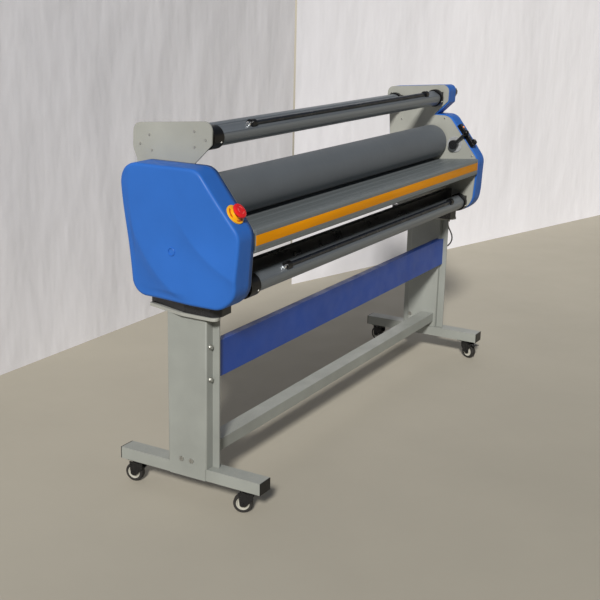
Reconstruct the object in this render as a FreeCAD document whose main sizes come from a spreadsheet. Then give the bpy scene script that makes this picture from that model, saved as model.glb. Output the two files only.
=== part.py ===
"""Cold roll laminator: two pressed-steel legs on caster feet carry two cabinets,
which hold a pair of press rollers, a feed table and three film shafts.

Millimetres. +X runs along the rollers to the operator's right, -Y is the
operator's side, +Z is up. The origin is on the floor under the middle of the machine.
"""
import FreeCAD
import Part
import Sketcher
import math
import os
import re

DIMENSIONS = [
    # stand
    ("foot_length", 540, "front to back"),
    ("foot_width", 60, "box tube, along X"),
    ("foot_height", 40, "box tube"),
    ("foot_wall", 3, "box tube wall"),
    ("foot_centre", 923, "distance of each foot from the middle"),
    ("foot_bottom", 81, "overall height of the casters"),
    ("cap_lip", 3, "visible thickness of a foot end cap"),
    ("leg_top", 622, "top of the leg channels"),
    ("leg_half_depth", 74, "half of the channel's size along Y"),
    ("leg_lip", 24, "lip beyond the channel on each side"),
    ("leg_seam", 918, "plane where the two channels of a leg meet"),
    ("leg_web_outer", 956, "outer face of the outer channel"),
    ("leg_web_inner", 896, "inner face of the inner channel"),
    ("leg_sheet", 3, "sheet thickness of leg and panel"),
    ("top_plate_thick", 10, "flange on top of each leg"),
    ("panel_bottom", 418, "cross panel, lower edge"),
    ("panel_top", 536, "cross panel, upper edge"),
    ("panel_return", 28, "depth of the panel's folded edges"),
    ("crossbar_bottom", 147, "lower crossbar"),
    ("crossbar_height", 40, "lower crossbar"),
    ("crossbar_depth", 60, "lower crossbar, along Y"),
    ("bolt_across", 13, "hexagon of the M8 bolts, across flats"),
    # casters
    ("caster_from_middle", 215, "swivel axis, along Y"),
    ("wheel_radius", 31.5, "2.5 inch wheel"),
    ("wheel_width", 22, "tyre width"),
    ("rim_radius", 24, "inside of the tyre"),
    ("axle_radius", 4, "axle bolt"),
    ("caster_trail", 20, "axle behind the swivel axis"),
    ("kingpin_radius", 6, "pin each fork swivels on"),
    ("pivot_radius", 2.4, "pins of the brake pedal"),
    # cabinets
    ("plate_inner", 909, "inner face of the side plates"),
    ("plate_thick", 6, "side plates"),
    ("block_top", 668, "top of the base blocks and underside of the covers"),
    ("cover_top", 1087, "top of the covers"),
    ("cover_front", -219, "front of the covers"),
    ("cover_rear", 216, "rear of the covers"),
    ("cover_knee", 904, "height where the front slope ends"),
    ("cover_brow", -76, "where the front slope starts at the top"),
    ("brow_radius", 55, "rounding of the cover at the brow"),
    ("knee_radius", 60, "rounding of the cover at the knee"),
    ("cover_chin", 712, "height where the front's lower bevel starts"),
    ("chin_radius", 76, "corners at both ends of that bevel"),
    ("cover_toe", -152, "front end of the covers' underside"),
    ("cover_heel", 186, "rear end of the covers' underside"),
    ("cover_width", 95, "from plate to outer face"),
    ("cover_wall", 5, "moulded shell"),
    ("cover_edge", 14, "rounding of the outer edges"),
    ("inset", 3, "how far the plate edge sits inside the cover edge"),
    ("arm_top_front", 1217, "top of the arms at the front"),
    ("arm_top_rear", 1194, "top of the arms at the rear"),
    ("arm_front", -68, "front edge of the arms"),
    ("arm_rear", 227, "rear edge of the arms"),
    ("arm_cover_width", 80, "blue cover on the right arm"),
    # press rollers
    ("roller_radius", 72.8, "both press rollers"),
    ("roller_end", 895, "end face of the rollers"),
    ("roller_y", -4, "axis of both rollers"),
    ("top_roller_z", 969, "axis of the top roller, closed"),
    ("bottom_roller_z", 823, "axis of the bottom roller"),
    ("core_radius", 62, "steel core under the silicone"),
    ("core_wall", 5, "steel core tube"),
    ("journal_radius", 12, "roller journals"),
    ("running_gap", 0.06, "radial clearance of running fits"),
    ("passing_gap", 0.4, "gap between parts that pass one another"),
    # lift
    ("slot_width", 40, "guide slot in the plates"),
    ("lift_height", 24, "stroke of the top roller"),
    ("lever_y", -110, "lever axis"),
    ("lever_z", 963, "lever axis"),
    ("pinion_radius", 34.4, "lever pinion"),
    ("lever_ring_radius", 34, "flange of the lever's bush"),
    ("lever_spindle_radius", 17, "spindle in the bush"),
    ("lever_hub_radius", 20, "hub of the lever"),
    ("lever_rod_radius", 6, "rod of the lever"),
    ("lever_rod_length", 74, "rod of the lever, from the axis"),
    ("lever_ball_radius", 12, "ball on the lever's rod"),
    ("lever_rod_inset", 18, "rod's middle from the plate's inner face"),
    ("lift_shaft_radius", 9, "cross shaft of the lift"),
    ("lift_shaft_y", 118, "cross shaft axis"),
    ("lift_pinion_radius", 25, "pinions on the cross shaft"),
    ("rack_inner", 922, "inner side of the racks"),
    ("rack_width", 14, "racks and wedges, along X"),
    ("rack_height", 20, "plain part of the racks"),
    # table and beams
    ("table_front", -222, "front face of the feed table"),
    ("table_lip", 842, "lower edge of the feed table"),
    ("table_wall", 4, "extrusion wall"),
    ("stripe_bottom", 860, "amber stripe"),
    ("stripe_top", 893, "amber stripe"),
    # film shafts
    ("shaft_radius", 31, "film shafts"),
    ("shaft_bore", 17, "inside of the film shafts"),
    ("shaft_left", 826, "left end face of the film shafts"),
    ("shaft_right", 862, "right end face of the film shafts"),
    ("shaft_flat", 26, "distance of the flat from the axis"),
    ("supply_y", -18, "supply shaft axis"),
    ("supply_z", 1160, "supply shaft axis"),
    ("rear_y", 172, "rear shaft axis"),
    ("rear_z", 1135, "rear shaft axis"),
    ("takeup_y", -155, "take-up shaft axis"),
    ("takeup_z", 718, "take-up shaft axis"),
    ("spigot_radius", 9, "stub at each end of a film shaft"),
    ("holder_radius", 37, "sockets that carry the film shafts"),
    ("holder_foot", 27, "square foot of those sockets, along X"),
    ("arm_screw_circle", 27, "screws round a shaft's axis, on the arms"),
    ("arm_screw_radius", 3.6, "heads of those screws"),
    ("grip_radius", 8, "grip bar set in the shaft"),
    ("grip_height", 30, "grip bar's axis from the shaft's axis"),
    ("grip_left", -672, "left end of the grip bars"),
    ("grip_right", 760, "right end of the grip bars"),
    ("collar_radius", 14, "clips on the grip bars"),
    ("collar_width", 24, "clips on the grip bars"),
    ("collar_inset", 18, "from the end of a grip bar to its clip"),
    # drive
    ("motor_y", 95, "motor axis"),
    ("motor_z", 755, "motor axis"),
    ("motor_radius", 36, "motor housing"),
    ("motor_end", 986, "outer end of the motor"),
    ("motor_flange_radius", 53, "motor's mounting flange"),
    ("motor_flange_face", 939, "inner face of that flange"),
    ("motor_flange_thick", 6, "motor's mounting flange"),
    ("motor_post_circle", 45, "posts round the motor's axis"),
    ("motor_shaft_radius", 6, "motor shaft"),
    ("motor_sprocket_radius", 21.6, "motor sprocket"),
    ("roller_sprocket_radius", 46, "sprocket on the bottom roller"),
    ("sprocket_inner", 923, "inner side of both sprockets"),
    ("sprocket_width", 7, "both sprockets"),
    ("chain_thick", 6, "chain loop"),
    # controls
    ("stop_along", 164, "stop button, distance down the front slope"),
    ("stop_x", -959, "stop button"),
    ("stop_ring_radius", 32, "yellow ring round the stop button"),
    ("stop_head_radius", 24.5, "mushroom head of the stop button"),
    ("strip_start", 58, "control strip, distance down the front slope"),
    ("strip_length", 112, "control strip"),
    ("strip_inner", 918, "control strip, inner side"),
    ("strip_width", 28, "control strip"),
    ("strip_height", 16, "control strip, above the slope"),
    ("knob_radius", 24, "tension knob"),
    ("knob_stub_radius", 8, "tension knob's stub in the arm cover"),
    ("knob_y", -40, "tension knob axis"),
    ("knob_z", 1178, "tension knob axis"),
    # cable
    ("cable_radius", 3, "power cable of the right leg"),
    ("cable_x", 937, "plane of the cable loop"),
    ("grommet_radius", 8, "grommet where the cable enters the leg"),
    ("grommet_z", 491, "grommet where the cable enters the leg"),
]

document = FreeCAD.newDocument("cold_roll_laminator")
size = document.addObject("Spreadsheet::Sheet", "Size")
for row, (alias, amount, note) in enumerate(DIMENSIONS, 1):
    size.set(f"A{row}", alias)
    size.set(f"B{row}", str(amount))
    size.set(f"C{row}", note)
    size.setAlias(f"B{row}", alias)
document.recompute()

ALIASES = {alias for alias, amount, note in DIMENSIONS}
X_AXIS = FreeCAD.Vector(1, 0, 0)
Y_AXIS = FreeCAD.Vector(0, 1, 0)
Z_AXIS = FreeCAD.Vector(0, 0, 1)
SUB_PARTS = []


# ---------------------------------------------------------------- helpers

def bound(expression):
    """The expression with each dimension's name pointing at its sheet cell."""
    def cell(word):
        return f"Size.{word[0]}" if word[0] in ALIASES else word[0]
    return re.sub(r"[a-z_]+", cell, str(expression))


def number(expression):
    """Present value of an expression in the sheet's dimensions."""
    return float(size.evalExpression(bound(expression)))


def vector(x, y, z):
    return FreeCAD.Vector(number(x), number(y), number(z))


def bind(obj, **properties):
    """Ties properties, such as Length or Radius, to expressions."""
    for name, expression in properties.items():
        obj.setExpression(name, bound(expression))
    return obj


def place(obj, x=0, y=0, z=0, axis=None, angle=0):
    """Puts an object at bound coordinates, turned by an angle about an axis."""
    turn = FreeCAD.Rotation(axis, angle) if axis else FreeCAD.Rotation()
    obj.Placement = FreeCAD.Placement(vector(x, y, z), turn)
    for name, expression in (("x", x), ("y", y), ("z", z)):
        obj.setExpression(f"Placement.Base.{name}", bound(expression))
    return obj


def box(name, length, width, height, x, y, z):
    """Box from its lowest corner."""
    solid = document.addObject("Part::Box", name)
    bind(solid, Length=length, Width=width, Height=height)
    return place(solid, x, y, z)


def rod(name, radius, length, x, y, z, along="X"):
    """Cylinder that starts at a point and runs along +X, +Y or +Z."""
    solid = document.addObject("Part::Cylinder", name)
    bind(solid, Radius=radius, Height=length)
    if along == "X":
        return place(solid, x, y, z, Y_AXIS, 90)
    if along == "Y":
        return place(solid, x, y, z, X_AXIS, -90)
    return place(solid, x, y, z)


def cut(name, base, tool):
    result = document.addObject("Part::Cut", name)
    result.Base = base
    result.Tool = tool
    return result


def fuse(name, *shapes):
    result = document.addObject("Part::MultiFuse", name)
    result.Shapes = list(shapes)
    result.Refine = True
    return result


def group(name, solids):
    """Separate solids that share one node."""
    result = document.addObject("Part::Compound", name)
    result.Links = list(solids)
    return result


def mirrored(name, source):
    """The same piece on the other side of the machine."""
    result = document.addObject("Part::Mirroring", name)
    result.Source = source
    result.Normal = X_AXIS
    return result


def copied(name, source, x=0, y=0, z=0, axis=None, angle=0):
    """The same piece again, moved by a bound distance and turned."""
    result = document.addObject("Part::Compound", name)
    result.Links = [source]
    return place(result, x, y, z, axis, angle)


def finished(name, obj):
    """Marks an object as a sub-part that is written to its own file."""
    obj.Label = name
    SUB_PARTS.append(obj)
    return obj


def origin_plane(body, role):
    return next(feature for feature in body.Origin.OriginFeatures if feature.Role == role)


def new_sketch(body, name, role):
    sketch = body.newObject("Sketcher::SketchObject", name)
    sketch.AttachmentSupport = [(origin_plane(body, role), "")]
    sketch.MapMode = "FlatFace"
    return sketch


def draw_outline(sketch, corners):
    """Closed outline through corners (u, v, radius), with tangent arcs where radius isn't 0.

    Every arc is made counter-clockwise, the way a sketch counts its ends.
    """
    points = [FreeCAD.Vector(number(u), number(v), 0) for u, v, radius in corners]
    count = len(points)
    starts = list(points)
    ends = [points[(i + 1) % count] for i in range(count)]
    arcs = {}
    for i, (u, v, radius) in enumerate(corners):
        amount = number(radius)
        if amount == 0:
            continue
        back = (points[i - 1] - points[i]).normalize()
        ahead = (points[(i + 1) % count] - points[i]).normalize()
        half = back.getAngle(ahead) / 2
        reach = amount / math.tan(half)
        centre = points[i] + (back + ahead).normalize() * (amount / math.sin(half))
        middle = centre + (points[i] - centre).normalize() * amount
        ends[i - 1] = points[i] + back * reach
        starts[i] = points[i] + ahead * reach
        first, last = ends[i - 1], starts[i]
        if ahead.cross(back).z < 0:
            first, last = last, first
        arcs[i] = Part.Arc(first, middle, last)
    lines = [sketch.addGeometry(Part.LineSegment(starts[i], ends[i]), False) for i in range(count)]
    for i, (u, v, radius) in enumerate(corners):
        before = lines[i - 1]
        after = lines[i]
        if i in arcs:
            corner = join_by_arc(sketch, before, after, arcs[i], radius, points[i])
        else:
            sketch.addConstraint(Sketcher.Constraint("Coincident", before, 2, after, 1))
            corner = after
        hold_point(sketch, corner, 1, u, v)
    return sketch


def join_by_arc(sketch, before, after, curve, radius, corner):
    """Tangent arc between two lines; returns the construction point at their corner."""
    arc = sketch.addGeometry(curve, False)
    meeting = sketch.Geometry[before].EndPoint
    from_start = sketch.Geometry[arc].StartPoint.distanceToPoint(meeting)
    from_end = sketch.Geometry[arc].EndPoint.distanceToPoint(meeting)
    near, far = (1, 2) if from_start < from_end else (2, 1)
    sketch.addConstraint(Sketcher.Constraint("Tangent", before, 2, arc, near))
    sketch.addConstraint(Sketcher.Constraint("Tangent", arc, far, after, 1))
    hold = sketch.addConstraint(Sketcher.Constraint("Radius", arc, number(radius)))
    sketch.setExpression(f"Constraints[{hold}]", bound(radius))
    point = sketch.addGeometry(Part.Point(corner), True)
    sketch.addConstraint(Sketcher.Constraint("PointOnObject", point, 1, before))
    sketch.addConstraint(Sketcher.Constraint("PointOnObject", point, 1, after))
    return point


def hold_point(sketch, geometry, position, u, v):
    """Keeps a point at a bound distance from the sketch's origin, or on its axis where that is 0."""
    for kind, axis, expression in (("DistanceX", -2, u), ("DistanceY", -1, v)):
        if str(expression) == "0":
            sketch.addConstraint(Sketcher.Constraint("PointOnObject", geometry, position, axis))
            continue
        hold = sketch.addConstraint(
            Sketcher.Constraint(kind, -1, 1, geometry, position, number(expression)))
        sketch.setExpression(f"Constraints[{hold}]", bound(expression))


def draw_circle(sketch, u, v, radius):
    centre = FreeCAD.Vector(number(u), number(v), 0)
    circle = sketch.addGeometry(Part.Circle(centre, FreeCAD.Vector(0, 0, 1), number(radius)), False)
    hold = sketch.addConstraint(Sketcher.Constraint("Radius", circle, number(radius)))
    sketch.setExpression(f"Constraints[{hold}]", bound(radius))
    hold_point(sketch, circle, 3, u, v)
    return sketch


def new_body(name):
    return document.addObject("PartDesign::Body", name)


def pad(body, sketch, length, both_ways=False):
    feature = body.newObject("PartDesign::Pad", sketch.Name + "_pad")
    feature.Profile = sketch
    if both_ways:
        feature.SideType = "Symmetric"
    bind(feature, Length=length)
    return feature


def pocket(body, sketch, depth, reverse=True):
    """Pocket that runs along the plane's normal, into a pad raised from that plane."""
    feature = body.newObject("PartDesign::Pocket", sketch.Name + "_pocket")
    feature.Profile = sketch
    feature.Reversed = reverse
    bind(feature, Length=depth)
    return feature


def revolve(body, sketch, axis="V_Axis"):
    feature = body.newObject("PartDesign::Revolution", sketch.Name + "_turned")
    feature.Profile = sketch
    feature.ReferenceAxis = (sketch, [axis])
    feature.Angle = 360
    return feature


def extruded(name, role, corners, length, both_ways=False):
    """Body padded from one outline."""
    body = new_body(name)
    sketch = draw_outline(new_sketch(body, name + "_outline", role), corners)
    pad(body, sketch, length, both_ways)
    return body


def turned(name, corners):
    """Body turned about +X; corners are (distance along the axis, radius from it, rounding)."""
    body = new_body(name)
    sketch = draw_outline(new_sketch(body, name + "_profile", "XY_Plane"), corners)
    revolve(body, sketch, "H_Axis")
    return body


# ---------------------------------------------------------------- stand

def foot_tube(side, sign):
    centre = f"{sign} * foot_centre"
    outside = box(f"{side}_foot_outside", "foot_width", "foot_length", "foot_height",
                  f"{centre} - foot_width / 2", "-foot_length / 2", "foot_bottom")
    inside = box(f"{side}_foot_inside", "foot_width - 2 * foot_wall", "foot_length",
                 "foot_height - 2 * foot_wall",
                 f"{centre} - foot_width / 2 + foot_wall", "-foot_length / 2", "foot_bottom + foot_wall")
    return cut(f"{side}_foot", outside, inside)


def foot_cap(name, sign, end):
    """Square lip over the tube's end with a plug inside it; end is -1 at the front."""
    centre = f"{sign} * foot_centre"
    lip_y = "foot_length / 2" if end > 0 else "-foot_length / 2 - cap_lip"
    plug_y = "foot_length / 2 - 12" if end > 0 else "-foot_length / 2"
    lip = box(name + "_lip", "foot_width", "cap_lip", "foot_height",
              f"{centre} - foot_width / 2", lip_y, "foot_bottom")
    plug = box(name + "_plug", "foot_width - 2 * foot_wall - 0.4", 12, "foot_height - 2 * foot_wall - 0.4",
               f"{centre} - foot_width / 2 + foot_wall + 0.2", plug_y, "foot_bottom + foot_wall + 0.2")
    return fuse(name, lip, plug)


def outer_channel():
    """Right-hand outer channel: hat section above the foot, web lapping over the foot's side."""
    lip_edge = "(leg_half_depth + leg_lip)"
    hat = [
        ("leg_seam", f"-{lip_edge}", 0),
        ("leg_seam + leg_sheet", f"-{lip_edge}", 0),
        ("leg_seam + leg_sheet", "-leg_half_depth", 0),
        ("leg_web_outer", "-leg_half_depth", 5),
        ("leg_web_outer", "leg_half_depth", 5),
        ("leg_seam + leg_sheet", "leg_half_depth", 0),
        ("leg_seam + leg_sheet", lip_edge, 0),
        ("leg_seam", lip_edge, 0),
        ("leg_seam", "leg_half_depth - leg_sheet", 0),
        ("leg_web_outer - leg_sheet", "leg_half_depth - leg_sheet", 2),
        ("leg_web_outer - leg_sheet", "leg_sheet - leg_half_depth", 2),
        ("leg_seam", "leg_sheet - leg_half_depth", 0),
    ]
    section = extruded("outer_channel_section", "XY_Plane", hat, "leg_top - foot_bottom - foot_height")
    place(section, 0, 0, "foot_bottom + foot_height")
    skirt = box("outer_channel_skirt", "leg_sheet", "2 * leg_half_depth - 10", "foot_height",
                "leg_web_outer - leg_sheet", "5 - leg_half_depth", "foot_bottom")
    return fuse("outer_channel", section, skirt)


def inner_channel():
    """Right leg's inner channel: shallow hat that closes the outer one lip to lip."""
    lip_edge = "(leg_half_depth + leg_lip)"
    side = "(leg_half_depth - 4)"
    hat = [
        ("leg_seam", f"-{lip_edge}", 0),
        ("leg_seam", f"-{side} + leg_sheet", 0),
        ("leg_web_inner + leg_sheet", f"-{side} + leg_sheet", 2),
        ("leg_web_inner + leg_sheet", f"{side} - leg_sheet", 2),
        ("leg_seam", f"{side} - leg_sheet", 0),
        ("leg_seam", lip_edge, 0),
        ("leg_seam - leg_sheet", lip_edge, 0),
        ("leg_seam - leg_sheet", side, 0),
        ("leg_web_inner", side, 5),
        ("leg_web_inner", f"-{side}", 5),
        ("leg_seam - leg_sheet", f"-{side}", 0),
        ("leg_seam - leg_sheet", f"-{lip_edge}", 0),
    ]
    section = extruded("right_inner_channel", "XY_Plane", hat, "leg_top - foot_bottom - foot_height")
    return place(section, 0, 0, "foot_bottom + foot_height")


def cross_panel():
    """Folded sheet between the legs; its returns stop short of the inner channels."""
    face = box("panel_face", "2 * (leg_seam - leg_sheet)", "leg_sheet", "panel_top - panel_bottom",
               "leg_sheet - leg_seam", "-leg_half_depth - 6", "panel_bottom")
    returns = []
    for edge, height in (("lower", "panel_bottom"), ("upper", "panel_top - leg_sheet")):
        returns.append(box(f"panel_{edge}_return", "2 * leg_web_inner - 2", "panel_return", "leg_sheet",
                           "1 - leg_web_inner", "-leg_half_depth - 6", height))
    return fuse("panel", face, *returns)


def crossbar():
    outside = box("crossbar_outside", "2 * leg_web_inner", "crossbar_depth", "crossbar_height",
                  "-leg_web_inner", "2 - crossbar_depth", "crossbar_bottom")
    inside = box("crossbar_inside", "2 * leg_web_inner", "crossbar_depth - 2 * foot_wall",
                 "crossbar_height - 2 * foot_wall", "-leg_web_inner", "2 - crossbar_depth + foot_wall",
                 "crossbar_bottom + foot_wall")
    return cut("crossbar", outside, inside)


def hex_bolt(name, x, z):
    """Hexagon head on a leg's front flange, with its shank through the sheet."""
    head = document.addObject("Part::Prism", name + "_head")
    head.Polygon = 6
    bind(head, Circumradius="bolt_across / 2 / cos(30)", Height=6)
    place(head, x, "-leg_half_depth - 1.5", z, X_AXIS, 90)
    washer = rod(name + "_washer", 9, 1.5, x, "-leg_half_depth - 1.5", z, "Y")
    return fuse(name, head, washer)


def slotted_bolt(name, x, y, z, sign):
    """Round head with a screwdriver slot, facing out of the machine or into it."""
    start = x if sign > 0 else f"{x} - 4"
    head = rod(name + "_head", 8, 4, start, y, z)
    slot_x = f"{x} + 2.5" if sign > 0 else f"{x} - 4"
    slot = box(name + "_slot", 1.5, 2, 20, slot_x, f"{y} - 1", f"{z} - 10")
    return cut(name, head, slot)


FLANGE_BOLT_X = 934
FLANGE_BOLTS = [("upper", 526), ("lower", 419)]
FOOT_BOLT_Z = 140
FOOT_BOLTS = [("front", -16), ("back", 22)]
INNER_BOLT_Y = 57
INNER_BOLT_Z = 168


def stand_bolts():
    """Bolts of the front flanges, of the outer channels' skirts and of the inner channels."""
    bolts = []
    for side, sign in (("left", -1), ("right", 1)):
        outside = f"{sign} * leg_web_outer"
        for level, z in FLANGE_BOLTS:
            bolts.append(hex_bolt(f"{side}_{level}_bolt", f"{sign} * {FLANGE_BOLT_X}", z))
        for place_name, y in FOOT_BOLTS:
            bolts.append(slotted_bolt(f"{side}_{place_name}_foot_bolt", outside, y, FOOT_BOLT_Z, sign))
        bolts.append(slotted_bolt(f"{side}_inner_bolt", f"{sign} * leg_web_inner", INNER_BOLT_Y, INNER_BOLT_Z,
                                  -sign))
    return bolts


def build_stand():
    finished("foot_tubes", group("foot_tubes", [foot_tube("left", -1), foot_tube("right", 1)]))
    caps = [foot_cap(f"{side}_{end_name}_cap", sign, end)
            for side, sign in (("left", -1), ("right", 1))
            for end_name, end in (("front", -1), ("rear", 1))]
    finished("foot_end_caps", group("foot_end_caps", caps))
    outer = outer_channel()
    cable_hole = rod("outer_channel_hole", "grommet_radius", 20,
                     "cable_x", "-leg_half_depth - 10", "grommet_z", "Y")
    finished("leg_outer_channels", group("leg_outer_channels", [
        cut("right_outer_channel", outer, cable_hole), mirrored("left_outer_channel", outer)]))
    inner = inner_channel()
    inner_pair = [inner, mirrored("left_inner_channel", inner)]
    finished("leg_inner_channels", group("leg_inner_channels", inner_pair))
    top = extruded("right_leg_top_plate", "XY_Plane",
                   [(893, -66, 0), (934, -112, 15), (970, -122, 15), (970, 10, 30),
                    (930, 162, 8), (893, 162, 0)],
                   "top_plate_thick")
    place(top, 0, 0, "leg_top")
    finished("leg_top_plates", group("leg_top_plates", [top, mirrored("left_leg_top_plate", top)]))
    finished("cross_panel", cross_panel())
    finished("lower_crossbar", crossbar())


# ---------------------------------------------------------------- casters

CASTERS = [
    # name, side, end of the foot, swivel angle from straight-ahead trail towards +Y
    ("front_left", -1, -1, 24),
    ("front_right", 1, -1, 160),
    ("rear_left", -1, 1, 8),
    ("rear_right", 1, 1, -20),
]
FORK_TOP = 70.5
FORK_SHEET = 2.5
PEDAL_PIVOT_Z = 60


def caster_plate(name, sign, end):
    plate_box = box(name + "_top", 54, 66, 3, f"{sign} * foot_centre - 27",
                    f"{end} * caster_from_middle - 33", "foot_bottom - 3")
    x = f"{sign} * foot_centre"
    y = f"{end} * caster_from_middle"
    race = rod(name + "_race", 19, 7, x, y, "foot_bottom - 10", "Z")
    pin_hole = rod(name + "_pin_hole", "kingpin_radius + running_gap", 7.5, x, y, "foot_bottom - 10.5", "Z")
    return cut(name, fuse(name + "_whole", plate_box, race), pin_hole)


def caster_fork(name):
    """Fork about its own swivel axis, wheel trailing towards +Y."""
    half_gap = "(wheel_width / 2 + 2.5)"
    crown = rod(name + "_crown", 21, FORK_SHEET, 0, 0, FORK_TOP - FORK_SHEET, "Z")
    bridge = box(name + "_bridge", f"2 * {half_gap} + 2 * {FORK_SHEET}", "caster_trail + 10", FORK_SHEET,
                 f"-{half_gap} - {FORK_SHEET}", -8, FORK_TOP - FORK_SHEET)
    cheeks = []
    for cheek, start in (("left", f"-{half_gap} - {FORK_SHEET}"), ("right", half_gap)):
        outline = [(-14, FORK_TOP, 0), ("caster_trail + 14", FORK_TOP, 0),
                   ("caster_trail + 9", "wheel_radius - 9", 8), ("caster_trail - 9", "wheel_radius - 9", 8),
                   (-14, "wheel_radius + 18", 4)]
        body = extruded(f"{name}_{cheek}_cheek", "YZ_Plane", outline, FORK_SHEET)
        cheeks.append(place(body, start, 0, 0))
    kingpin = rod(name + "_kingpin", "kingpin_radius", 7, 0, 0, FORK_TOP - 1, "Z")
    axle_hole = rod(name + "_axle_hole", "axle_radius", 60, -30, "caster_trail", "wheel_radius")
    pedal_hole = rod(name + "_pedal_hole", "pivot_radius + running_gap", 60,
                     -30, "caster_trail + 7", PEDAL_PIVOT_Z)
    whole = fuse(name + "_sheet", crown, bridge, kingpin, *cheeks)
    frame = cut(name + "_frame", whole, group(name + "_holes", [axle_hole, pedal_hole]))
    reach = f"({half_gap} + {FORK_SHEET} + 3)"
    axle = rod(name + "_axle", "axle_radius", f"2 * {reach}", f"-{reach}", "caster_trail", "wheel_radius")
    return group(name, [frame, axle])


def caster_wheel(name):
    """Moulded wheel with a deep hub, in a rubber tyre, both turned about the axle."""
    bore = "(axle_radius + running_gap)"
    wheel_profile = [
        (-12, bore, 0), (12, bore, 0), (12, 8, 1), (7, 9, 0), (7, 20, 1), (10, 21.5, 0),
        (10, "rim_radius", 0), (-10, "rim_radius", 0), (-10, 21.5, 0), (-7, 20, 1), (-7, 9, 0), (-12, 8, 1),
    ]
    tyre_profile = [
        ("-wheel_width / 2", "rim_radius", 0), ("wheel_width / 2", "rim_radius", 0),
        ("wheel_width / 2", "wheel_radius", 5), ("-wheel_width / 2", "wheel_radius", 5),
    ]
    return [turned(name + "_moulding", wheel_profile), turned(name + "_tyre", tyre_profile)]


def build_casters():
    plates = [caster_plate(f"{name}_plate", sign, end) for name, sign, end, angle in CASTERS]
    finished("caster_plates", group("caster_plates", plates))
    for name, sign, end, angle in CASTERS:
        x = f"{sign} * foot_centre"
        y = f"{end} * caster_from_middle"
        fork = caster_fork(f"{name}_fork_local")
        finished(f"{name}_caster_fork", copied(f"{name}_caster_fork", fork, x, y, 0, Z_AXIS, angle))
        pieces = caster_wheel(f"{name}_wheel")
        wheel = group(f"{name}_wheel_local",
                      [place(piece, 0, "caster_trail", "wheel_radius") for piece in pieces])
        finished(f"{name}_caster_wheel", copied(f"{name}_caster_wheel", wheel, x, y, 0, Z_AXIS, angle))
    build_brake_pedal()


def build_brake_pedal():
    """Toe pedal of the front right caster, hinged across the fork above the wheel."""
    name, sign, end, angle = CASTERS[1]
    tread = box("pedal_tread", 34, 22, 3, -17, "caster_trail + 21", PEDAL_PIVOT_Z + 4)
    web = box("pedal_web", 39, 8, 3, -19.5, "caster_trail + 17", PEDAL_PIVOT_Z + 4)
    ears = []
    for edge, ear_start, pin_start in (("left", -19.5, -17.5), ("right", 17, 14)):
        ears.append(box(f"pedal_{edge}_ear", 2.5, 22, 12, ear_start, "caster_trail + 3", PEDAL_PIVOT_Z - 5))
        ears.append(rod(f"pedal_{edge}_pin", "pivot_radius", 3.5,
                        pin_start, "caster_trail + 7", PEDAL_PIVOT_Z))
    pedal = fuse("pedal_local", tread, web, *ears)
    finished("brake_pedal", copied("brake_pedal", pedal, f"{sign} * foot_centre",
                                   f"{end} * caster_from_middle", 0, Z_AXIS, angle))


# ---------------------------------------------------------------- cabinets

def cover_corners(step):
    """Outline of a cover, moved inwards by a step."""
    return [
        (f"cover_brow + {step} / 2", f"cover_top - {step}", f"brow_radius - {step}"),
        (f"cover_front + {step}", f"cover_knee - {step} / 2.9", f"knee_radius - {step}"),
        (f"cover_front + 13 + {step}", f"cover_chin + {step} / 2.6", f"chin_radius - {step}"),
        (f"cover_toe + {step} / 2.6", f"block_top + {step}", f"chin_radius - {step}"),
        (f"cover_heel - {step} / 1.2", f"block_top + {step}", f"54 - {step}"),
        (f"cover_rear - {step}", f"cover_top - {step}", f"65 - {step}"),
    ]


def arm_cover_corners(step):
    """Outline of the right arm's cover, moved inwards by a step."""
    return [
        (f"arm_front - 2 + {step}", f"arm_top_front - 1 - {step}", f"26 - {step}"),
        (f"arm_front + {step}", f"1140 + {step} / 2", 8),
        (f"-14 + {step} / 2", f"cover_top + 1 + {step}", 4),
        (f"198 - {step} / 2", f"cover_top + 1 + {step}", 8),
        (f"arm_rear - {step}", f"1112 + {step} / 2", 20),
        (f"arm_rear - 3 - {step}", f"arm_top_rear - 1 - {step}", f"26 - {step}"),
    ]


def moulded_shell(name, corners, width, edge_radius):
    """Right-hand shell with a rounded outer face, open towards the side plate."""
    body = new_body(name)
    outline = draw_outline(new_sketch(body, name + "_outline", "YZ_Plane"), corners("0"))
    block = pad(body, outline, width)
    document.recompute()
    outer_face = number(width) - 1e-6
    edges = [f"Edge{i}" for i, edge in enumerate(block.Shape.Edges, 1) if edge.BoundBox.XMin > outer_face]
    rounding = body.newObject("PartDesign::Fillet", name + "_rounding")
    rounding.Base = (block, edges)
    bind(rounding, Radius=edge_radius)
    document.recompute()
    inside = draw_outline(new_sketch(body, name + "_inside", "YZ_Plane"), corners("cover_wall"))
    pocket(body, inside, f"{width} - cover_wall")
    return place(body, "plate_inner + plate_thick", 0, 0)


def plate_corners():
    """Outline of a side plate: the cover's outline with the arm on top."""
    return [
        ("arm_front", "arm_top_front", 28),
        ("arm_front + 2", 1146, 8),
        (-2, "cover_top - inset", 0),
        ("cover_brow + inset / 2", "cover_top - inset", "brow_radius - inset"),
        ("cover_front + inset", "cover_knee - inset / 2.9", "knee_radius - inset"),
        ("cover_front + 13 + inset", "cover_chin + 1", "chin_radius - inset"),
        ("cover_toe + 1", "block_top", "chin_radius - inset"),
        ("cover_heel - 2", "block_top", 51),
        (212, 1084, 12),
        ("arm_rear", 1118, 40),
        ("arm_rear - 4", "arm_top_rear", 28),
    ]


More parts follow.
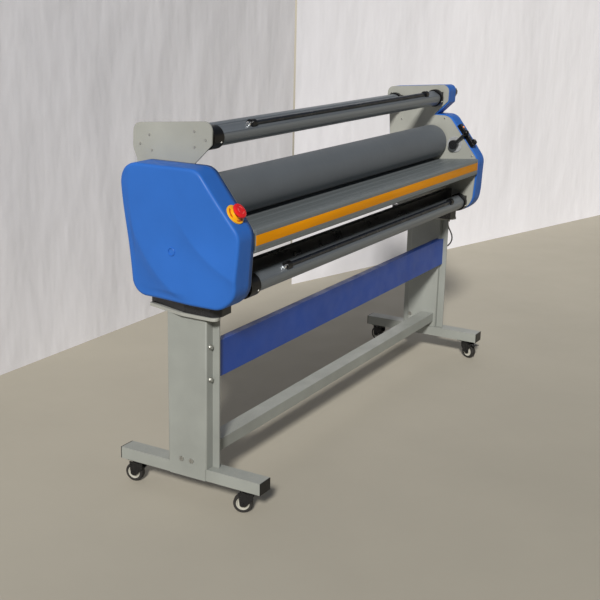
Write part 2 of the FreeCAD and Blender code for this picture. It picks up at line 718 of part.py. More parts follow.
def side_plate(side, sign):
    """Flat plate with the roller bore, the guide slot and the lift shaft's holes."""
    body = new_body(f"{side}_plate_body")
    outline = draw_outline(new_sketch(body, f"{side}_plate_outline", "YZ_Plane"), plate_corners())
    pad(body, outline, "plate_thick")
    holes = new_sketch(body, f"{side}_plate_holes", "YZ_Plane")
    draw_circle(holes, "roller_y", "bottom_roller_z", 20)
    draw_circle(holes, "lift_shaft_y", lift_shaft_z(), "lift_shaft_radius + running_gap")
    if side == "right":
        draw_circle(holes, "lever_y", "lever_z", 18)
    draw_outline(holes, [
        ("roller_y - slot_width / 2", "top_roller_z - 38", 0),
        ("roller_y + slot_width / 2", "top_roller_z - 38", 0),
        ("roller_y + slot_width / 2", "top_roller_z + 52", 0),
        ("roller_y - slot_width / 2", "top_roller_z + 52", 0),
    ])
    pocket(body, holes, "plate_thick")
    place(body, "plate_inner" if sign > 0 else "-plate_inner - plate_thick", 0, 0)
    return body


def lift_shaft_z():
    return "lever_z - pinion_radius + lift_pinion_radius"


def build_cabinets():
    for side, sign in (("left", -1), ("right", 1)):
        finished(f"{side}_side_plate", side_plate(side, sign))
    right = moulded_shell("right_cover_shell", cover_corners, "cover_width", "cover_edge")
    finished("right_cover", right)
    finished("left_cover", mirrored("left_cover", right))
    block = extruded("right_base_block", "XY_Plane",
                     [(885, -118, 0), (945, -122, 20), (966, -100, 20), (964, 0, 40),
                      (914, 166, 8), (885, 166, 0)],
                     "block_top - leg_top - top_plate_thick")
    place(block, 0, 0, "leg_top + top_plate_thick")
    finished("base_blocks", group("base_blocks", [block, mirrored("left_base_block", block)]))
    arm = moulded_shell("right_arm_shell", arm_cover_corners, "arm_cover_width", 10)
    knob_hole = rod("arm_cover_knob_hole", "knob_stub_radius + running_gap", 20,
                    "plate_inner + plate_thick + arm_cover_width - 15", "knob_y", "knob_z")
    finished("right_arm_cover", cut("right_arm_cover", arm, knob_hole))
    build_shaft_holders()


SHAFT_AXES = [
    ("supply", "supply_y", "supply_z"),
    ("rear", "rear_y", "rear_z"),
    ("takeup", "takeup_y", "takeup_z"),
]


def shaft_holder(name, shaft_end, y, z):
    """Round socket on a square foot, from the right plate to the end of a film shaft."""
    foot = box(name + "_foot", "holder_foot", 50, 50, "plate_inner - holder_foot", f"{y} - 25", f"{z} - 25")
    disc = rod(name + "_disc", "holder_radius", f"plate_inner - holder_foot - {shaft_end} - 2",
               f"{shaft_end} + 4", y, z)
    bore = rod(name + "_bore", "spigot_radius + running_gap", 18, f"{shaft_end} + 4", y, z)
    return cut(name, fuse(name + "_whole", foot, disc), bore)


def arm_screws(name, y, z, first_turn):
    """Three screw heads round a shaft's axis, on the left arm's outer face."""
    return [rod(f"{name}_screw_{index}", "arm_screw_radius", 2, "-plate_inner - plate_thick - 2",
                f"{y} + arm_screw_circle * cos({first_turn + 120 * index})",
                f"{z} + arm_screw_circle * sin({first_turn + 120 * index})")
            for index in range(3)]


def build_shaft_holders():
    holders = []
    for name, y, z in SHAFT_AXES:
        holders.append(shaft_holder(f"right_{name}_holder", "shaft_right", y, z))
        left = shaft_holder(f"left_{name}_holder_seen_from_behind", "shaft_left", y, z)
        holders.append(mirrored(f"left_{name}_holder", left))
    finished("shaft_holders", group("shaft_holders", holders))
    screws = arm_screws("supply", "supply_y", "supply_z", 60) + arm_screws("rear", "rear_y", "rear_z", 110)
    finished("machine_fasteners", group("machine_fasteners", stand_bolts() + screws))


# ---------------------------------------------------------------- rollers

def roller_sleeve(name, z):
    sleeve = turned(name + "_body", [
        ("-roller_end", "core_radius", 0), ("roller_end", "core_radius", 0),
        ("roller_end", "roller_radius", 2), ("-roller_end", "roller_radius", 2)])
    return place(sleeve, 0, "roller_y", z)


def roller_shaft(name, z, left_reach, right_reach):
    """Hollow steel core closed by end discs, with a journal at each end."""
    hollow_end = "roller_end - 12"
    hollow = "core_radius - core_wall"
    core = turned(name + "_core", [
        (f"-{left_reach}", 0, 0), (f"-{left_reach}", "journal_radius", 0),
        ("-roller_end", "journal_radius", 0), ("-roller_end", "core_radius", 0),
        ("roller_end", "core_radius", 0), ("roller_end", "journal_radius", 0),
        (right_reach, "journal_radius", 0), (right_reach, 0, 0)])
    place(core, 0, "roller_y", z)
    void = rod(name + "_void", hollow, f"2 * ({hollow_end})", f"-({hollow_end})", "roller_y", z)
    return cut(name, core, void)


def build_rollers():
    finished("bottom_roller_sleeve", roller_sleeve("bottom_roller_sleeve", "bottom_roller_z"))
    finished("bottom_roller_shaft", roller_shaft("bottom_roller_shaft", "bottom_roller_z", "938", "921"))
    finished("top_roller_sleeve", roller_sleeve("top_roller_sleeve", "top_roller_z"))
    finished("top_roller_shaft", roller_shaft("top_roller_shaft", "top_roller_z", "942", "942"))
    ring = turned("right_bearing_ring", [
        (905, "journal_radius + running_gap", 0), (919, "journal_radius + running_gap", 0),
        (919, 28, 1), (915, 28, 0), (915, 20, 0), (905, 20, 1)])
    place(ring, 0, "roller_y", "bottom_roller_z")
    ring_pair = [ring, mirrored("left_bearing_ring", ring)]
    finished("lower_roller_bearings", group("lower_roller_bearings", ring_pair))


# ---------------------------------------------------------------- lift

def wedge_slope():
    """Rise of the wedges per unit of their travel."""
    return "(lift_height / (pinion_radius * 60 * pi / 180))"


def wedge_level(y):
    """Height of the sloping face at a distance from the rollers' axis plane."""
    return f"top_roller_z - 23.5 + {wedge_slope()} * ({y})"


def lift_block():
    """Bearing block of the top roller: a guide in the plate's slot and a foot on the wedge."""
    guide_half = "(slot_width / 2 - passing_gap)"
    front = f"roller_y - {guide_half}"
    rear = f"roller_y + {guide_half}"
    outline = [(front, "top_roller_z + 20", 3), (front, wedge_level(f"-{guide_half}"), 0),
               (rear, wedge_level(guide_half), 0), (rear, "top_roller_z + 20", 3)]
    block = extruded("lift_block_whole", "YZ_Plane", outline, "rack_inner + rack_width - 902")
    place(block, 902, 0, 0)
    bore = rod("lift_block_bore", "journal_radius + running_gap", 80, 880, "roller_y", "top_roller_z")
    return cut("right_lift_block", block, bore)


def lift_wedge():
    """Rack bar under both pinions, with the wedge that lifts the block on its back."""
    top = "(lever_z - pinion_radius - passing_gap)"
    travel = "(pinion_radius * 60 * pi / 180)"
    back = f"(slot_width / 2 + {travel})"
    outline = [
        ("lever_y - 14", top, 0),
        ("lever_y - 14", f"{top} - rack_height", 3),
        (f"lift_shaft_y + {travel} + 6", f"{top} - rack_height", 3),
        (f"lift_shaft_y + {travel} + 6", top, 0),
        (f"roller_y + {back}", top, 0),
        (f"roller_y + {back}", f"{wedge_level(back)} - passing_gap", 0),
        (f"roller_y - slot_width / 2 - 4", f"{wedge_level('-slot_width / 2 - 4')} - passing_gap", 0),
        (f"roller_y - slot_width / 2 - 4", top, 0),
    ]
    body = extruded("right_lift_wedge", "YZ_Plane", outline, "rack_width")
    return place(body, "rack_inner", 0, 0)


def build_lift():
    block = lift_block()
    finished("lift_blocks", group("lift_blocks", [block, mirrored("left_lift_block", block)]))
    wedge = lift_wedge()
    finished("lift_wedges", group("lift_wedges", [wedge, mirrored("left_lift_wedge", wedge)]))
    reach = "(rack_inner + rack_width)"
    axis = ("lift_shaft_y", lift_shaft_z())
    shaft = rod("lift_cross_shaft", "lift_shaft_radius", f"2 * {reach}", f"-{reach}", *axis)
    right = rod("right_lift_pinion", "lift_pinion_radius", "rack_width", "rack_inner", *axis)
    left = rod("left_lift_pinion", "lift_pinion_radius", "rack_width", f"-{reach}", *axis)
    finished("lift_shaft", fuse("lift_shaft", shaft, right, left))
    build_lever()


LEVER_LEAN = 45


def lever_rod(name):
    """Rod of the pressure lever, leaning forward from its axis."""
    solid = rod(name, "lever_rod_radius", "lever_rod_length", 0, 0, 0, "Z")
    return place(solid, "plate_inner - lever_rod_inset", "lever_y", "lever_z", X_AXIS, LEVER_LEAN)


def build_lever():
    """Pressure lever on the right plate: bush, hub and rod outside, pinion inside the cover."""
    flange = rod("lever_ring_outer", "lever_ring_radius", 4, "plate_inner - 4", "lever_y", "lever_z")
    neck = rod("lever_ring_neck", "lever_spindle_radius + 1", "plate_thick",
               "plate_inner", "lever_y", "lever_z")
    bore = rod("lever_ring_inner", "lever_spindle_radius + running_gap", 40,
               "plate_inner - 10", "lever_y", "lever_z")
    finished("lever_bush", cut("lever_bush", fuse("lever_ring_whole", flange, neck), bore))
    spindle = rod("lever_spindle", "lever_spindle_radius", "rack_inner + rack_width - plate_inner + 8",
                  "plate_inner - 8", "lever_y", "lever_z")
    pinion = rod("lever_pinion", "pinion_radius", "rack_width", "rack_inner", "lever_y", "lever_z")
    hub = rod("lever_hub", "lever_hub_radius", 20, "plate_inner - 26", "lever_y", "lever_z")
    finished("pressure_lever", fuse("pressure_lever", spindle, pinion, hub, lever_rod("lever_arm")))
    sphere = document.addObject("Part::Sphere", "lever_ball_whole")
    bind(sphere, Radius="lever_ball_radius")
    reach = "(lever_rod_length + lever_ball_radius / 2 - 0.5)"
    place(sphere, "plate_inner - lever_rod_inset", f"lever_y - {reach} * sin({LEVER_LEAN})",
          f"lever_z + {reach} * cos({LEVER_LEAN})")
    finished("lever_ball", cut("lever_ball", sphere, lever_rod("lever_ball_socket")))


# ---------------------------------------------------------------- table and beams

def feed_table():
    """Extrusion: a sloping top with shallow grooves and a front face with a strip groove."""
    back_y = "roller_y - 40"
    outline = [
        (back_y, 894, 0), ("table_front + 6", 908.5, 0), ("table_front", 903, 3),
        ("table_front", "stripe_top", 0), ("table_front + 1.5", "stripe_top", 0),
        ("table_front + 1.5", "stripe_bottom", 0), ("table_front", "stripe_bottom", 0),
        ("table_front", "table_lip", 2), ("table_front + 18", "table_lip - 4", 0),
        ("table_front + 18", "table_lip", 0), ("table_front + 6.5", "table_lip + 3", 0),
        ("table_front + 6.5", 898, 0), (back_y, "890.2", 0),
    ]
    body = extruded("feed_table_body", "YZ_Plane", outline, "2 * plate_inner", True)
    return body


def beam(name, depth, height, y, z):
    outside = box(name + "_outside", "2 * plate_inner", depth, height, "-plate_inner", y, z)
    inside = box(name + "_inside", "2 * plate_inner", depth - 6, height - 6, "-plate_inner", y + 3, z + 3)
    return cut(name, outside, inside)


def build_table():
    finished("feed_table", feed_table())
    finished("table_stripe", box("table_stripe", "2 * plate_inner", 1.5, "stripe_top - stripe_bottom",
                                 "-plate_inner", "table_front", "stripe_bottom"))
    finished("front_beam", beam("front_beam", 28, 46, -108, 722))
    finished("rear_beam", beam("rear_beam", 30, 60, 112, 700))


# ---------------------------------------------------------------- film shafts

def film_shaft(name, y, z, flat_angle, grooved):
    """Aluminium tube with a stub at each end; the flat faces flat_angle from +Z towards -Y."""
    length = "shaft_left + shaft_right"
    tube = rod(name + "_tube", "shaft_radius", length, "-shaft_left", 0, 0)
    bore = rod(name + "_bore", "shaft_bore", f"{length} - 24", "12 - shaft_left", 0, 0)
    cuts = [bore]
    if grooved:
        cuts.append(box(name + "_flat", f"{length} + 2", 60, 20, "-shaft_left - 1", -30, "shaft_flat"))
        cuts.append(rod(name + "_groove", "grip_radius", f"{length} + 2",
                        "-shaft_left - 1", 0, "grip_height"))
    profile = cut(name + "_profile", tube, group(name + "_cuts", cuts))
    stubs = [rod(f"{name}_{side}_stub", "spigot_radius", 24, start, 0, 0)
             for side, start in (("left", "-shaft_left - 14"), ("right", "shaft_right - 10"))]
    return copied(name + "_placed", fuse(name + "_local", profile, *stubs), 0, y, z, X_AXIS, flat_angle)


def grip_collar(name, x):
    """Black clip over the grip bar, standing on the shaft's flat."""
    ring = rod(name + "_ring", "collar_radius", "collar_width", x, 0, "grip_height")
    under = box(name + "_under", 60, 60, 60, f"{x} - 10", -30, "shaft_flat - 60")
    bar_hole = rod(name + "_hole", "grip_radius", 60, f"{x} - 10", 0, "grip_height")
    return cut(name, ring, group(name + "_cuts", [under, bar_hole]))


GRIP_SHAFTS = [("supply", "supply_y", "supply_z", 32), ("takeup", "takeup_y", "takeup_z", 39)]


def build_film_shafts():
    for name, y, z, flat_angle in GRIP_SHAFTS:
        finished(f"{name}_shaft", film_shaft(f"{name}_shaft", y, z, flat_angle, True))
        bar = rod(f"{name}_bar_local", "grip_radius", "grip_right - grip_left", "grip_left", 0, "grip_height")
        finished(f"{name}_grip_bar", copied(f"{name}_grip_bar", bar, 0, y, z, X_AXIS, flat_angle))
        clips = [grip_collar(f"{name}_left_collar", "grip_left + collar_inset"),
                 grip_collar(f"{name}_right_collar", "grip_right - collar_inset - collar_width")]
        clips = group(f"{name}_collars_local", clips)
        finished(f"{name}_collars", copied(f"{name}_collars", clips, 0, y, z, X_AXIS, flat_angle))
    finished("rear_shaft", film_shaft("rear_shaft", "rear_y", "rear_z", 0, False))


# ---------------------------------------------------------------- drive

def sprocket(name, radius, teeth, shaft_bore):
    """Toothed disc with a hub, turned by its shaft; its axis is +X."""
    body = new_body(name)
    disc = draw_circle(new_sketch(body, name + "_disc", "YZ_Plane"), 0, 0, radius)
    pad(body, disc, "sprocket_width")
    gap = draw_circle(new_sketch(body, name + "_gap", "YZ_Plane"), 0, radius, 2.6)
    notch = pocket(body, gap, "sprocket_width")
    document.recompute()
    ring = body.newObject("PartDesign::PolarPattern", name + "_teeth")
    ring.Originals = [notch]
    ring.Axis = (gap, ["N_Axis"])
    ring.Angle = 360
    ring.Occurrences = teeth
    body.Tip = ring
    if number(shaft_bore) > 0:
        hole = draw_circle(new_sketch(body, name + "_hole", "YZ_Plane"), 0, 0, shaft_bore)
        pocket(body, hole, "sprocket_width")
    return body


def loop_face(radius_change):
    """Face bounded by a tight loop round both sprockets, grown by radius_change."""
    roller = FreeCAD.Vector(0, number("roller_y"), number("bottom_roller_z"))
    motor = FreeCAD.Vector(0, number("motor_y"), number("motor_z"))
    roller_r = number("roller_sprocket_radius") + radius_change
    motor_r = number("motor_sprocket_radius") + radius_change
    heading = math.atan2(motor.z - roller.z, motor.y - roller.y)
    spread = math.acos((roller_r - motor_r) / (motor - roller).Length)

    def on_circle(centre, radius, angle):
        return centre + FreeCAD.Vector(0, math.cos(angle), math.sin(angle)) * radius

    upper = heading + spread
    lower = heading - spread
    roller_arc = Part.Arc(on_circle(roller, roller_r, upper), on_circle(roller, roller_r, heading + math.pi),
                          on_circle(roller, roller_r, lower))
    motor_arc = Part.Arc(on_circle(motor, motor_r, lower), on_circle(motor, motor_r, heading),
                         on_circle(motor, motor_r, upper))
    edges = [roller_arc.toShape(),
             Part.makeLine(roller_arc.EndPoint, motor_arc.StartPoint),
             motor_arc.toShape(),
             Part.makeLine(motor_arc.EndPoint, roller_arc.StartPoint)]
    return Part.Face(Part.Wire(Part.__sortEdges__(edges)))


def drive_chain():
    """Chain as a plain loop just outside the sprockets' teeth."""
    gap = number("passing_gap")
    band = loop_face(gap + number("chain_thick")).cut(loop_face(gap))
    feature = document.addObject("Part::Feature", "drive_chain")
    feature.Shape = band.extrude(X_AXIS * (number("sprocket_width") - 1))
    start = vector("0.5 - sprocket_inner - sprocket_width", 0, 0)
    feature.Placement = FreeCAD.Placement(start, FreeCAD.Rotation())
    return feature


def drive_motor():
    """Gear motor on three posts that stand on the left side plate."""
    flange_back = "(motor_flange_face + motor_flange_thick)"
    housing = rod("motor_housing", "motor_radius", f"motor_end - {flange_back}", "-motor_end",
                  "motor_y", "motor_z")
    flange = rod("motor_flange", "motor_flange_radius", "motor_flange_thick", f"-{flange_back}",
                 "motor_y", "motor_z")
    away = math.degrees(math.atan2(number("bottom_roller_z - motor_z"), number("roller_y - motor_y")))
    posts = [rod(f"motor_post_{index}", 5, f"{flange_back} - 2 - plate_inner - plate_thick",
                 f"2 - {flange_back}",
                 f"motor_y + motor_post_circle * cos({away + turn})",
                 f"motor_z + motor_post_circle * sin({away + turn})")
             for index, turn in enumerate((90, 180, 270), 1)]
    shaft_hole = rod("motor_shaft_hole", "motor_shaft_radius + running_gap", 30, "-motor_flange_face - 27",
                     "motor_y", "motor_z")
    return cut("drive_motor", fuse("motor_whole", housing, flange, *posts), shaft_hole)


def build_drive():
    finished("drive_motor", drive_motor())
    sprocket_x = "-sprocket_inner - sprocket_width"
    on_roller = sprocket("roller_sprocket_body", "roller_sprocket_radius", 30, "journal_radius")
    finished("roller_sprocket", place(on_roller, sprocket_x, "roller_y", "bottom_roller_z"))
    on_motor = place(sprocket("motor_sprocket_body", "motor_sprocket_radius", 14, "0"),
                     sprocket_x, "motor_y", "motor_z")
    motor_shaft = rod("motor_shaft", "motor_shaft_radius", 36, "-motor_flange_face - 23",
                      "motor_y", "motor_z")
    finished("motor_sprocket", fuse("motor_sprocket", on_motor, motor_shaft))
    finished("drive_chain", drive_chain())
    finished("motor_controller", box("motor_controller", 70, 150, 90, "plate_inner + plate_thick", -60, 700))


# ---------------------------------------------------------------- controls

SLOPE = "sqrt((cover_brow - cover_front)^2 + (cover_top - cover_knee)^2)"
SLOPE_ANGLE = math.degrees(math.atan2(number("cover_top - cover_knee"), number("cover_brow - cover_front")))


def on_slope(obj, x, along):
    """Puts an object on a cover's front slope: its +Z stands out of the slope, its +Y runs up it."""
    y = f"cover_brow + (cover_front - cover_brow) * ({along}) / {SLOPE}"
    z = f"cover_top - (cover_top - cover_knee) * ({along}) / {SLOPE}"
    return place(obj, x, y, z, X_AXIS, SLOPE_ANGLE)


def slope_part(name, local, x, along):
    result = document.addObject("Part::Compound", name)
    result.Links = [local]
    return finished(name, on_slope(result, x, along))


def build_controls():
    """Control strip on the right cover, stop button on the left one, knob on the right arm."""
    strip = box("strip_whole", "strip_width", "strip_length", "strip_height", 0, 0, 0)
    knob_x = "strip_width / 2"
    knob_y = 14
    knob_hole = rod("strip_knob_hole", "3 + running_gap", 10, knob_x, knob_y, "strip_height - 8", "Z")
    recess = box("strip_switch_recess", 14, 22, 10, "strip_width / 2 - 7", 30, "strip_height - 9")
    slope_part("control_panel", cut("strip_local", strip, group("strip_cuts", [knob_hole, recess])),
               "strip_inner", "strip_start + strip_length")
    stem = rod("knob_stem", 3, 9, knob_x, knob_y, "strip_height - 7", "Z")
    cap = rod("knob_cap", 12.5, 13, knob_x, knob_y, "strip_height + 1", "Z")
    slope_part("speed_knob", fuse("knob_local", stem, cap), "strip_inner", "strip_start + strip_length")
    rocker = box("rocker_local", 12, 19, 7, "strip_width / 2 - 6", 31.5, "strip_height - 5")
    slope_part("power_switch", rocker, "strip_inner", "strip_start + strip_length")

    ring = rod("stop_ring", "stop_ring_radius", 5, 0, 0, 0, "Z")
    neck = rod("stop_neck", 15, 11, 0, 0, 0, "Z")
    well = rod("stop_well", "8 + running_gap", 12, 0, 0, 1, "Z")
    base = cut("stop_base_local", fuse("stop_base_whole", ring, neck), well)
    slope_part("stop_base", base, "stop_x", "stop_along")
    head = rod("stop_head", "stop_head_radius", 10, 0, 0, 18, "Z")
    dome = document.addObject("Part::Fillet", "stop_dome")
    dome.Base = head
    document.recompute()
    top_edge = next(i for i, edge in enumerate(head.Shape.Edges, 1) if edge.BoundBox.ZMin > 27.9)
    dome.Edges = [(top_edge, 6, 6)]
    plunger = rod("stop_plunger", 8, 12, 0, 0, 8, "Z")
    slope_part("stop_button", fuse("stop_button_local", dome, plunger), "stop_x", "stop_along")

    outer_face = "plate_inner + plate_thick + arm_cover_width"
    grip = rod("tension_grip", "knob_radius", 30, f"{outer_face} + 1", "knob_y", "knob_z")
    stub = rod("tension_stub", "knob_stub_radius", 12, f"{outer_face} - 10", "knob_y", "knob_z")
    finished("tension_knob", fuse("tension_knob", grip, stub))


# ---------------------------------------------------------------- cable

CABLE_ROUTE = [(-88, 612), (-88, 590), (-104, 566), (-114, 540), (-106, 512), (-86, 494), (-60, 487)]
RUN_SHARE = 0.45


def rounded_path(points):
    """Straight runs joined by tangent arcs, each as large as its two runs allow."""
    edges = []
    radii = []
    at = points[0]
    for before, corner, after in zip(points, points[1:], points[2:]):
        back = (before - corner).normalize()
        ahead = (after - corner).normalize()
        reach = RUN_SHARE * min((before - corner).Length, (after - corner).Length)
        half = back.getAngle(ahead) / 2
        radius = reach * math.tan(half)
        centre = corner + (back + ahead).normalize() * (reach / math.cos(half))
        middle = centre + (corner - centre).normalize() * radius
        edges.append(Part.LineSegment(at, corner + back * reach).toShape())
        edges.append(Part.Arc(corner + back * reach, middle, corner + ahead * reach).toShape())
        at = corner + ahead * reach
        radii.append(round(radius, 1))
    edges.append(Part.LineSegment(at, points[-1]).toShape())
    return Part.Wire(edges), radii


def build_cable():
    """Short lead from under the right cabinet into the right leg."""
    x = number("cable_x")
    points = [FreeCAD.Vector(x, y, z) for y, z in CABLE_ROUTE]
    path, radii = rounded_path(points)
    section = Part.Wire(Part.makeCircle(number("cable_radius"), points[0], points[1] - points[0]))
    cable = document.addObject("Part::Feature", "power_cable")
    cable.Shape = path.makePipeShell([section], True, False)
    expected = math.pi * number("cable_radius") ** 2 * path.Length
    print("cable radii", radii, "length", round(path.Length, 1), "volume share",
          round(cable.Shape.Volume / expected, 4))
    finished("power_cable", cable)
    gland = rod("cable_gland", 8, 10, "cable_x", -88, "leg_top - 10", "Z")
    grommet = rod("cable_grommet_whole", "grommet_radius", 7,
                  "cable_x", "-leg_half_depth - 2", "grommet_z", "Y")
    passage = rod("cable_grommet_passage", 4.5, 9, "cable_x", "-leg_half_depth - 3", "grommet_z", "Y")
    finished("cable_glands", group("cable_glands", [gland, cut("cable_grommet", grommet, passage)]))


# ---------------------------------------------------------------- whole machine

def check_arcs(sketch):
    """Stops if a corner of the sketch was rounded the long way."""
    for curve in sketch.Geometry:
        if isinstance(curve, Part.ArcOfCircle) and curve.LastParameter - curve.FirstParameter > math.pi:
            raise RuntimeError(f"{sketch.Name} has an arc of over half a turn")


def check(objects):
    """Stops unless every object recomputed and every sub-part is a valid solid."""
    for obj in objects:
        if "Invalid" in obj.State or "Error" in obj.State:
            raise RuntimeError(f"{obj.Name} failed: {obj.State}")
        if obj.isDerivedFrom("Sketcher::SketchObject"):
            check_arcs(obj)
    for part in SUB_PARTS:
        shape = part.Shape
        if shape.isNull() or not shape.isValid() or not shape.Solids:
            raise RuntimeError(f"{part.Label} has no valid solid")


build_stand()
build_casters()
build_cabinets()
build_rollers()
build_lift()
build_table()
build_film_shafts()
build_drive()
build_controls()
build_cable()
document.recompute()
check(document.Objects)

os.makedirs("parts", exist_ok=True)
for part in SUB_PARTS:
    part.Shape.exportStep(f"parts/{part.Label}.step")
    print(part.Label, len(part.Shape.Solids), round(part.Shape.Volume / 1000, 1), "cm3")
print(len(SUB_PARTS), "sub-parts")
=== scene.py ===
"""Looks of the cold roll laminator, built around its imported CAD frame.

Metres. +X runs along the rollers to the operator's right, -Y is the operator's side, +Z is up.
"""
import math

import bmesh
import bpy
from mathutils import Matrix, Vector


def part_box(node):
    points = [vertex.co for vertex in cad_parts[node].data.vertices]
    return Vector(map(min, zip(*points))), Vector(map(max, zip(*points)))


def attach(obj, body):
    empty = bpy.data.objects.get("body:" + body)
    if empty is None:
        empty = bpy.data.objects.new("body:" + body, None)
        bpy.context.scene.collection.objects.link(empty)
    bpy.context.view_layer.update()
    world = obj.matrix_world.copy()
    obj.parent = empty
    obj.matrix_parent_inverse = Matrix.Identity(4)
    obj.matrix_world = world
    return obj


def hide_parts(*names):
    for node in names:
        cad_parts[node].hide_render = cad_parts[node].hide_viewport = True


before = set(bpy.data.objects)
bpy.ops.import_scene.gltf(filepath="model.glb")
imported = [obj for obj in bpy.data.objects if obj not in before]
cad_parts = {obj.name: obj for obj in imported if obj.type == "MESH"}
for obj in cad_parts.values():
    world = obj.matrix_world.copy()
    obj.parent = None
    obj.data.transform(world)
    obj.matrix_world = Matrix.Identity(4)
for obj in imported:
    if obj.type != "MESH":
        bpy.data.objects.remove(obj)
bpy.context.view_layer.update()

# ---------------------------------------------------------------- places taken over from the frame

PLATE_OUTER = 0.915
COVER_WIDTH = 0.095
COVER_BROW = Vector((-0.076, 1.087))
COVER_KNEE = Vector((-0.219, 0.904))
SLOPE_TILT = math.atan2(COVER_BROW.y - COVER_KNEE.y, COVER_BROW.x - COVER_KNEE.x)
SHAFT_LEFT = -0.826
SHAFT_RIGHT = 0.862
SHAFT_RADIUS = 0.031
HOLDER_RADIUS = 0.037
SHAFT_FLAT = 0.026
SHAFTS = {
    "supply": (Vector((0, -0.018, 1.160)), math.radians(32)),
    "takeup": (Vector((0, -0.155, 0.718)), math.radians(39)),
    "rear": (Vector((0, 0.172, 1.135)), 0.0),
}
CASTERS = {
    "front_left": (Vector((-0.923, -0.215, 0)), math.radians(24)),
    "front_right": (Vector((0.923, -0.215, 0)), math.radians(160)),
    "rear_left": (Vector((-0.923, 0.215, 0)), math.radians(8)),
    "rear_right": (Vector((0.923, 0.215, 0)), math.radians(-20)),
}
CASTER_TRAIL = 0.020
WHEEL_RADIUS = 0.0315


# ---------------------------------------------------------------- mesh helpers

def add_piece(name, mesh, body, material, sharp=35):
    """New piece from a mesh in the row frame, shaded smooth up to a sharp angle in degrees."""
    mesh.shade_smooth()
    mesh.set_sharp_from_angle(angle=math.radians(sharp))
    piece = bpy.data.objects.new(name, mesh)
    bpy.context.scene.collection.objects.link(piece)
    piece.data.materials.append(material)
    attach(piece, body)
    return piece


def mesh_of(name, rings, close_ends=True, matrix=None):
    """Skin over rings of points, each ring closed, with a flat cap on the first and last ring."""
    bm = bmesh.new()
    rows = [[bm.verts.new(point) for point in ring] for ring in rings]
    for row, following in zip(rows, rows[1:]):
        for i in range(len(row)):
            j = (i + 1) % len(row)
            bm.faces.new((row[i], row[j], following[j], following[i]))
    if close_ends:
        bm.faces.new(rows[0])
        bm.faces.new(rows[-1])
    bmesh.ops.recalc_face_normals(bm, faces=bm.faces)
    mesh = bpy.data.meshes.new(name)
    bm.to_mesh(mesh)
    bm.free()
    if matrix is not None:
        mesh.transform(matrix)
    return mesh


def lathe(name, profile, matrix, steps=48):
    """Turned shape about the matrix's +Z; profile is a list of (radius, height)."""
    rings = [[Vector((radius * math.cos(turn), radius * math.sin(turn), height))
              for turn in (2 * math.pi * i / steps for i in range(steps))]
             for radius, height in profile]
    return mesh_of(name, rings, matrix=matrix)


def along_x(name, outline, start, end, matrix=None):
    """Bar whose section is an outline of (y, z) points, from x start to x end."""
    rings = [[Vector((x, y, z)) for y, z in outline] for x in (start, end)]
    return mesh_of(name, rings, matrix=matrix)


def rounded_outline(corners, steps=8):
    """Closed outline through corners (u, v, radius) with an arc at each corner."""
    points = []
    count = len(corners)
    for i, (u, v, radius) in enumerate(corners):
        corner = Vector((u, v))
        back = (Vector(corners[i - 1][:2]) - corner).normalized()
        ahead = (Vector(corners[(i + 1) % count][:2]) - corner).normalized()
        if radius == 0:
            points.append(corner)
            continue
        half = back.angle(ahead) / 2
        centre = corner + (back + ahead).normalized() * radius / math.sin(half)
        first = (corner + back * radius / math.tan(half) - centre).normalized()
        last = (corner + ahead * radius / math.tan(half) - centre).normalized()
        for step in range(steps + 1):
            points.append(centre + first.slerp(last, step / steps) * radius)
    return points


def evenly(points, spacing):
    """The closed outline again, with its long edges divided to about the spacing."""
    result = []
    for i, point in enumerate(points):
        following = points[(i + 1) % len(points)]
        parts = max(1, round((following - point).length / spacing))
        result += [point.lerp(following, part / parts) for part in range(parts)]
    return result


def rounded_box(low, high, radius, name, matrix=None, segments=3):
    """Box with rounded edges between two corners."""
    bm = bmesh.new()
    bmesh.ops.create_cube(bm, size=1)
    size = Vector(high) - Vector(low)
    middle = (Vector(high) + Vector(low)) / 2
    for vert in bm.verts:
        vert.co = Vector(a * b for a, b in zip(vert.co, size)) + middle
    bmesh.ops.bevel(bm, geom=bm.edges[:], offset=radius, segments=segments, affect="EDGES",
                    profile=0.5)
    mesh = bpy.data.meshes.new(name)
    bm.to_mesh(mesh)
    bm.free()
    if matrix is not None:
        mesh.transform(matrix)
    return mesh


def joined(name, meshes):
    """Several meshes as one."""
    bm = bmesh.new()
    for mesh in meshes:
        bm.from_mesh(mesh)
        bpy.data.meshes.remove(mesh)
    result = bpy.data.meshes.new(name)
    bm.to_mesh(result)
    bm.free()
    return result


def slope_matrix(x, along):
    """Place on a cover's front slope, a distance down it; +Z stands out of it and +Y runs up it."""
    point = COVER_BROW + (COVER_KNEE - COVER_BROW).normalized() * along
    return Matrix.Translation((x, point.x, point.y)) @ Matrix.Rotation(SLOPE_TILT, 4, "X")


def facing_x(x, y, z, outward=1):
    """Place whose +Z points along +X, or along -X where outward is -1."""
    return Matrix.Translation((x, y, z)) @ Matrix.Rotation(outward * math.pi / 2, 4, "Y")


# ---------------------------------------------------------------- material helpers

def linear(red, green, blue):
    """Screen colour, 0 to 255, as the shader's linear colour."""
    def channel(value):
        share = value / 255
        return share / 12.92 if share <= 0.04045 else ((share + 0.055) / 1.055) ** 2.4
    return (channel(red), channel(green), channel(blue), 1)


def shaded(colour, share):
    return tuple(value * share for value in colour[:3]) + (1,)


